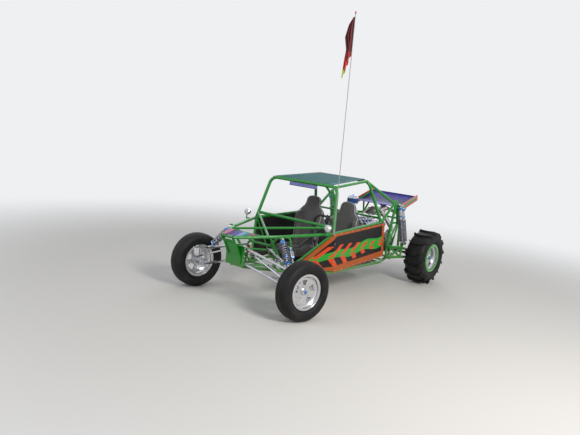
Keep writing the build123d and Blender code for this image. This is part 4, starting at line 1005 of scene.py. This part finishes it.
length = (FRONT_COIL[1] - FRONT_COIL[0]).length
metal, caps = damper_parts(length, 0.024, 0.62 * length, 0.036)
caps = merge("caps", [
    caps,
    round_part("coil_seat", [
        (0.0, 0.020), (0.0, 0.045), (0.006, 0.046), (0.010, 0.024), (0.020, 0.020),
    ], start=COIL_SEAT * length),
    round_part("coil_ring", [
        (RING_FOOT * length, 0.026), (RING_FOOT * length, 0.044), (RING_TOP * length + 0.006, 0.046),
        (RING_TOP * length + 0.010, 0.044), (RING_TOP * length + 0.010, 0.026),
    ]),
])
spring = coil("coil", COIL_TOP * length, COIL_LOW * length, 0.0385, FRONT_WIRE, 8)
fit_damper("front", "", "front_shocks", aimed(*FRONT_COIL, Vector((0, 1, 0))), metal, caps, spring)

length = (SECOND_DAMPER[1] - SECOND_DAMPER[0]).length
metal, caps = damper_parts(length, 0.0215, 0.60 * length, 0.026)
outer_pipes = [
    tube("outer_pipe", [(along, away * math.sin(turn), away * math.cos(turn)) for along, away in (
        (0.050, PIPE_END), (0.052, PIPE_AWAY), (0.062, PIPE_AWAY), (0.50 * length, PIPE_AWAY),
        (0.56 * length, PIPE_AWAY), (0.57 * length, PIPE_END),
    )], 0.0050, order=3)
    for turn in PIPE_TURNS
]
metal = merge("damper", [metal] + outer_pipes)
fit_damper("second", "", "front_bypass_shocks", aimed(*SECOND_DAMPER, Vector((0, 1, 0))), metal, caps)

for number, (top, low) in enumerate(REAR_DAMPERS):
    length = (low - top).length
    metal, caps = damper_parts(length, 0.0285, 0.60 * length, 0.035)
    bands = [
        round_part("band", [(0.0, 0.028), (0.0, 0.0310), (0.016, 0.0310), (0.016, 0.028)], start=share * length)
        for share in (0.25, 0.42)
    ]
    caps = merge("caps", [caps] + bands)
    seats = [
        round_part("coil_seat", [(0.0, 0.028), (0.0, 0.039), (0.010, 0.039), (0.010, 0.028)], start=share * length)
        for share in (0.345, 0.90)
    ]
    spring = merge("spring", [coil("coil", 0.36 * length, 0.90 * length, 0.0335, REAR_WIRE, 22)] + seats)
    fit_damper("rear", f"_{number}", "rear_shocks", aimed(top, low, Vector((1, 0, 0))), metal, caps, spring)

# Flag: a limp maroon cloth tied by its top edge to the whip, gathered in deep folds, with a red and a
# yellow-green tail. The whip ends in a small red cap.
FLAG_TOP = Vector((0.6554, -0.7770, 3.487))
FLAG_WIDTH = 0.30
FLAG_LENGTHS = (0.43, 0.72)
FLAG_FOLDS = 3.0
FLAG_COLUMNS, FLAG_ROWS = 72, 44
FLAG_WALL = 0.0012
# Mean slope of a sine wave, as a share of its steepest
MEAN_SLOPE = 0.637
# Columns: share of the drop, reach of the gathered cloth from the whip
FLAG_REACH = [(0.00, 0.016), (0.12, 0.062), (0.34, 0.098), (0.55, 0.058), (0.72, 0.074), (1.00, 0.094)]


def from_table(table, at):
    """A value between the rows of a two-column table."""
    for (x0, y0), (x1, y1) in zip(table, table[1:]):
        if at <= x1:
            return y0 + (y1 - y0) * (at - x0) / (x1 - x0)
    return table[-1][1]


pick_none()
bpy.ops.mesh.primitive_grid_add(x_subdivisions=FLAG_COLUMNS, y_subdivisions=FLAG_ROWS, size=1.0)
flag = bpy.context.object
flag.name = "flag_cloth"
for point in flag.data.vertices:
    across, down = point.co.x + 0.5, 0.5 - point.co.y
    reach = from_table(FLAG_REACH, down)
    wave = 2 * math.pi * FLAG_FOLDS
    depth = math.sqrt(FLAG_WIDTH ** 2 - reach ** 2) / (wave * MEAN_SLOPE)
    drop = down * (FLAG_LENGTHS[0] + (FLAG_LENGTHS[1] - FLAG_LENGTHS[0]) * across)
    sway = 0.006 * math.sin(5.0 * down + 2.0 * across)
    fold = depth * math.sin(wave * across + 0.5 * down) * (0.25 + 0.75 * min(1.0, down * 6.0))
    point.co = FLAG_TOP + Vector((-0.007 - reach * across, fold + sway, -drop))
pick(flag)
wall = flag.modifiers.new("wall", "SOLIDIFY")
wall.thickness = FLAG_WALL
wall.offset = 0.0
bpy.ops.object.modifier_apply(modifier="wall")
smooth(flag, 70.0)
flag_paint, place = finish("flag_cloth", (0.20, 0.022, 0.030), 0.75, 0.0, {"Sheen Weight": 0.2})
threads = grain(place, 1200.0, 1.0)
height = axis(place, "Z") + grain(place, 30.0, 2.0) * 0.02
shade = height.node("ShaderNodeMapRange", {}, {0: height, 1: 2.76, 2: 3.50, 3: 0.0, 4: 1.0})
shade = shade.node("ShaderNodeValToRGB", {"steps": "CONSTANT", "stops": [
    (0.0, (0.42, 0.50, 0.030)), (0.17, (0.62, 0.035, 0.020)), (0.34, (0.42, 0.030, 0.025)),
    (0.45, (0.155, 0.018, 0.026)),
]}, {0: shade})
feed(flag_paint, {"Base Color": mixed(threads * 0.35, shade, (0.05, 0.01, 0.012)), "Roughness": 0.65 + threads * 0.2})
relief(flag_paint, threads, 0.0004)
fit(flag, "chassis", "flag_cloth", flag_paint, "whip_flag")
FLAG_WIDTH * sum(FLAG_LENGTHS) / 2

whip_cap = round_part("whip_cap", [(-0.030, 0.0058), (-0.026, 0.0085), (-0.004, 0.0085), (0.0, 0.0060)], 20)
whip_cap.data.transform(Matrix.Translation((0.655, -0.778, 3.5500)) @ Matrix.Rotation(-math.pi / 2, 4, "Y"))
cap_red = shaded("cap_red", ((0.55, 0.02, 0.02), (0.42, 0.015, 0.015), (0.62, 0.03, 0.03)), 90.0, 0.4)
fit(whip_cap, "chassis", "flag_cloth", cap_red)

# Wheel fittings: five hexagon nuts and a blue-ringed dust cap on each hub, a rubber valve, and on the rear
# wheels the ring of bolts that clamps the tyre's bead.
NUT_R, NUT_CIRCLE = 0.0105, 0.0300
# Columns: axle, hub face and the rim's half width, both from the wheel's middle
HUBS = (("front", 0.044, 0.073), ("rear", 0.084, 0.127))
RING_BOLTS, RING_BOLT_R = 20, 0.0058
RING_FACE, RING_BOLT_CIRCLE = 0.134, 0.190


def spread(name, piece, count, circle, along):
    """Copies of a small part in a circle about the X axis, joined, and the first one used up."""
    out = Matrix.Translation((along, 0, circle))
    copies = [put(piece, Matrix.Rotation(2 * math.pi * i / count, 4, "X") @ out, f"{name}_{i}") for i in range(count)]
    bpy.data.objects.remove(piece)
    return merge(name, copies)


def bolt_head(name, radius, height):
    """A six-sided head with a chamfered top on a round collar."""
    head = turned(name, [
        (-0.004, radius * 0.80), (0.002, radius * 0.80), (0.0022, radius), (height - 0.002, radius),
        (height, radius * 0.80),
    ], 6)
    collar = turned("collar", [(-0.003, radius * 1.2), (0.0015, radius * 1.2), (0.002, radius * 1.15)], 16)
    smooth(collar, 40.0)
    return merge(name, [head, collar])


nut_steel = shaded(
    "nut_steel", ((0.55, 0.56, 0.58), (0.38, 0.39, 0.42), (0.68, 0.69, 0.71)), 80.0, 0.22, 1.0,
    gloss=(0.16, 0.2, 120.0),
)
valve_rubber = shaded(
    "valve_rubber", ((0.02, 0.02, 0.02), (0.014, 0.014, 0.014), (0.045, 0.042, 0.040)), 90.0, 0.6,
)
for axle, face, rim_half in HUBS:
    nuts = spread("nuts", bolt_head("nut", NUT_R, 0.014), 5, NUT_CIRCLE, face)
    if axle == "rear":
        ring_bolt = bolt_head("ring_bolt", RING_BOLT_R, 0.007)
        nuts = merge("nuts", [nuts, spread("ring_bolts", ring_bolt, RING_BOLTS, RING_BOLT_CIRCLE, RING_FACE)])
    cap_ring = round_part("cap_ring", [
        (-0.004, 0.0165), (0.016, 0.0165), (0.019, 0.0145), (0.021, 0.0100), (0.022, 0.0040),
    ], start=face)
    valve = round_part("valve", [
        (0.0, 0.0055), (0.012, 0.0055), (0.016, 0.0036), (0.034, 0.0036), (0.036, 0.0028),
    ], 14)
    leaning = Matrix.Translation((rim_half - 0.050, 0, 0.158)) @ Matrix.Rotation(0.35, 4, "Y")
    valve.data.transform(Matrix.Rotation(0.7, 4, "X") @ leaning)
    on_both_wheels(nuts, axle, "wheel_nuts", "polished_steel", nut_steel)
    on_both_wheels(cap_ring, axle, "dust_cap", "polished_aluminium", cap_blue)
    on_both_wheels(valve, axle, "valve", "tyre_rubber", valve_rubber)

# Lamp glasses: shallow domes of pressed glass with upright ribs.
# Each is set in the rim of its chrome bowl.
LAMP = Vector((0.655, -0.893, 0.970))
glass = round_part("lamp_glass", [
    (0.0015, 0.0375), (-0.0015, 0.0370), (-0.0048, 0.0300), (-0.0068, 0.0190), (-0.0076, 0.0060),
], 40)
lamp_glass, place = finish("lamp_glass", (0.72, 0.76, 0.80), 0.08, 0.35, {"Coat Weight": 0.5})
# The ribs raise the glass and also stripe its colour from dark to bright: painted shade and painted glints on each
# rib
ribs_and_glints = place.node("ShaderNodeTexWave", {"bands_direction": "X"}, {
    "Vector": place, "Scale": 90.0, "Distortion": 0.0,
}, 1)
feed(lamp_glass, {
    "Base Color": mixed(ribs_and_glints, (0.46, 0.50, 0.55), (0.88, 0.90, 0.92)), "Roughness": 0.05 + grain(place, 50.0) * 0.08,
})
relief(lamp_glass, ribs_and_glints, 0.0015)
forward = Matrix.Translation(LAMP) @ Matrix.Rotation(math.pi / 2, 4, "Z")
on_both_sides(glass, "lamp_glass", "lamp_chrome", lamp_glass, at=forward)

# Panel screws: button heads of bright steel along the border of each side panel, which they hold to the
# frame. Each one is set by a ray on the panel's own face.
SCREW_R = 0.0080
# Columns: the line's start along the car and its height, and the screws on it to the next start
SCREW_LINES = ((-0.690, 0.874, 9), (0.585, 0.928, 4), (0.735, 0.450, 8), (-0.440, 0.370, 4))
screw = round_part("screw", [
    (-0.002, SCREW_R), (0.0008, SCREW_R), (0.0026, SCREW_R * 0.8), (0.0036, SCREW_R * 0.3),
], 12)
screws = []
for (y0, z0, count), (y1, z1, _) in zip(SCREW_LINES, SCREW_LINES[1:] + SCREW_LINES[:1]):
    for i in range(count):
        beside = Vector((1.2, y0 + (y1 - y0) * i / count, z0 + (z1 - z0) * i / count))
        found, spot, facing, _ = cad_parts["side_panels"].ray_cast(beside, Vector((-1, 0, 0)))
        if found:
            at = Matrix.Translation(spot) @ facing.to_track_quat("X", "Z").to_matrix().to_4x4()
            screws.append(put(screw, at, f"screw_{len(screws)}"))
bpy.data.objects.remove(screw)
on_both_sides(merge("screws", screws), "panel_screws", "polished_steel", nut_steel)

# Engine fittings: four ignition leads and two hoses on each side, and a drive belt round the pulleys.
# The leads are silicone rubber with a boot on each plug, the hoses have a steel braid, the belt is rubber.
LEAD_R, NARROW_HOSE_R, WIDE_HOSE_R = 0.0045, 0.0100, 0.0120
PLUG_Y, PLUG_STEP = 0.775, 0.113
NARROW_HOSE = [
    (0.090, 1.10, 0.880), (0.180, 1.14, 0.930), (0.260, 1.02, 0.900), (0.330, 0.82, 0.760), (0.330, 0.70, 0.560),
    (0.230, 0.66, 0.470),
]
WIDE_HOSE = [
    (0.075, 0.72, 0.930), (0.090, 0.62, 0.960), (0.150, 0.60, 0.860), (0.200, 0.62, 0.660), (0.150, 0.64, 0.540),
]
BELT_Y, BELT_R, BELT_WIDER = 0.632, 0.0050, 1.9
# Columns: a pulley's place across and up, the belt's radius there, degrees where the belt meets and leaves it
PULLEYS = (
    (0.0, 0.480, 0.079, 200, 340), (0.120, 0.610, 0.043, -30, 50), (0.0, 0.690, 0.056, 40, 140),
    (-0.120, 0.610, 0.043, 130, 210),
)
lead_blue = shaded("lead_blue", ((0.03, 0.07, 0.30), (0.02, 0.05, 0.24), (0.05, 0.11, 0.40)), 60.0, 0.4)
hose_braid, place = finish("hose_braid", (0.42, 0.43, 0.45), 0.35, 0.9)
strands = place.node("ShaderNodeTexVoronoi", {}, {
    "Vector": stretched(place, 1.0, 1.6, 1.0), "Scale": 380.0,
})
feed(hose_braid, {
    "Base Color": mixed(strands, (0.22, 0.22, 0.24), (0.60, 0.61, 0.63)), "Roughness": 0.25 + strands * 0.3,
})
relief(hose_braid, strands, 0.0008)
belt_rubber = shaded(
    "belt_rubber", ((0.018, 0.018, 0.018), (0.012, 0.012, 0.012), (0.040, 0.038, 0.036)), 70.0, 0.65,
)

leads = []
for i in range(4):
    y = PLUG_Y + PLUG_STEP * i
    leads.append(tube("lead", [
        (0.235, y, 0.730), (0.290, y, 0.745), (0.300, y - 0.03, 0.830), (0.230, y - 0.06, 0.905),
        (0.120, 0.70, 0.900), (0.060, 0.665, 0.840),
    ], LEAD_R))
    boot = round_part("boot", [(0.0, 0.0095), (0.030, 0.0085), (0.034, 0.0060)], 14)
    boot.data.transform(Matrix.Translation((0.222, y, 0.727)))
    leads.append(boot)
on_both_sides(merge("leads", leads), "ignition_leads", "grip", lead_blue)
hoses = merge("hoses", [tube("hose", NARROW_HOSE, NARROW_HOSE_R), tube("hose", WIDE_HOSE, WIDE_HOSE_R)])
on_both_sides(hoses, "engine_hoses", "polished_steel", hose_braid)

belt_line = []
for x, z, radius, first, last in PULLEYS:
    for step in range(5):
        angle = math.radians(first + (last - first) * step / 4)
        belt_line.append((x + radius * math.cos(angle), BELT_Y, z + radius * math.sin(angle)))
belt = tube("drive_belt", belt_line, BELT_R, closed=True, order=3)
middle = Matrix.Translation((0, BELT_Y, 0))
belt.data.transform(middle @ Matrix.Scale(BELT_WIDER, 4, (0, 1, 0)) @ middle.inverted())
fit(belt, "chassis", "tyre_rubber", belt_rubber)

# Air cleaner: a pleated blue cotton element between the chrome caps, and a blue anodised lid with a knurled
# knob that holds it down.
CLEANER = Vector((-0.080, 0.800, 1.150))
PLEAT_SIDES, PLEAT_FOOT = 112, 0.962
cotton_blue = shaded(
    "cotton_blue", ((0.03, 0.10, 0.34), (0.015, 0.05, 0.20), (0.05, 0.15, 0.44)), 260.0, 0.75, detail=2.0,
)
element = turned("air_element", [(-0.034, 0.0770), (-0.032, 0.0815), (0.032, 0.0815), (0.034, 0.0770)], PLEAT_SIDES)
edit_where(element, lambda point: round(math.atan2(point.co.z, point.co.y) * PLEAT_SIDES / math.tau) % 2 == 1)
bpy.ops.transform.resize(value=(1.0, PLEAT_FOOT, PLEAT_FOOT))
leave_edit()
lid = merge("cleaner_lid", [
    round_part("lid", [
        (0.0660, 0.0585), (0.0665, 0.0605), (0.0700, 0.0600), (0.0740, 0.0500), (0.0755, 0.0300), (0.0757, 0.0100),
    ], 48),
    round_part("knob", [(0.0750, 0.0090), (0.0860, 0.0090), (0.0880, 0.0070), (0.0885, 0.0030)], 12),
])
upright = Matrix.Rotation(-math.pi / 2, 4, "Y")
for piece in (element, lid):
    piece.data.transform(Matrix.Translation(CLEANER) @ upright)
fit(element, "chassis", "grip", cotton_blue)
fit(lid, "chassis", "polished_aluminium", cap_blue)

# Reservoir: a small red painted can that stands on the rack housing in the nose, with a black steel lid
# screwed on.
RESERVOIR = Vector((0.090, -1.645, 0.6395))
can = round_part("can", [(0.0, 0.019), (0.002, 0.022), (0.070, 0.022), (0.074, 0.018)], 28)
lid = round_part("lid", [(0.073, 0.0175), (0.075, 0.0185), (0.088, 0.0185), (0.091, 0.0160)], 20)
for piece in (can, lid):
    piece.data.transform(Matrix.Translation(RESERVOIR) @ upright)
can_red = shaded(
    "can_red", ((0.55, 0.02, 0.02), (0.42, 0.012, 0.012), (0.66, 0.035, 0.03)), 60.0, 0.3, 0.2, {"Coat Weight": 0.4},
)
fit(can, "chassis", "wing_end_red", can_red)
fit(lid, "chassis", "black_steel", black_steel)
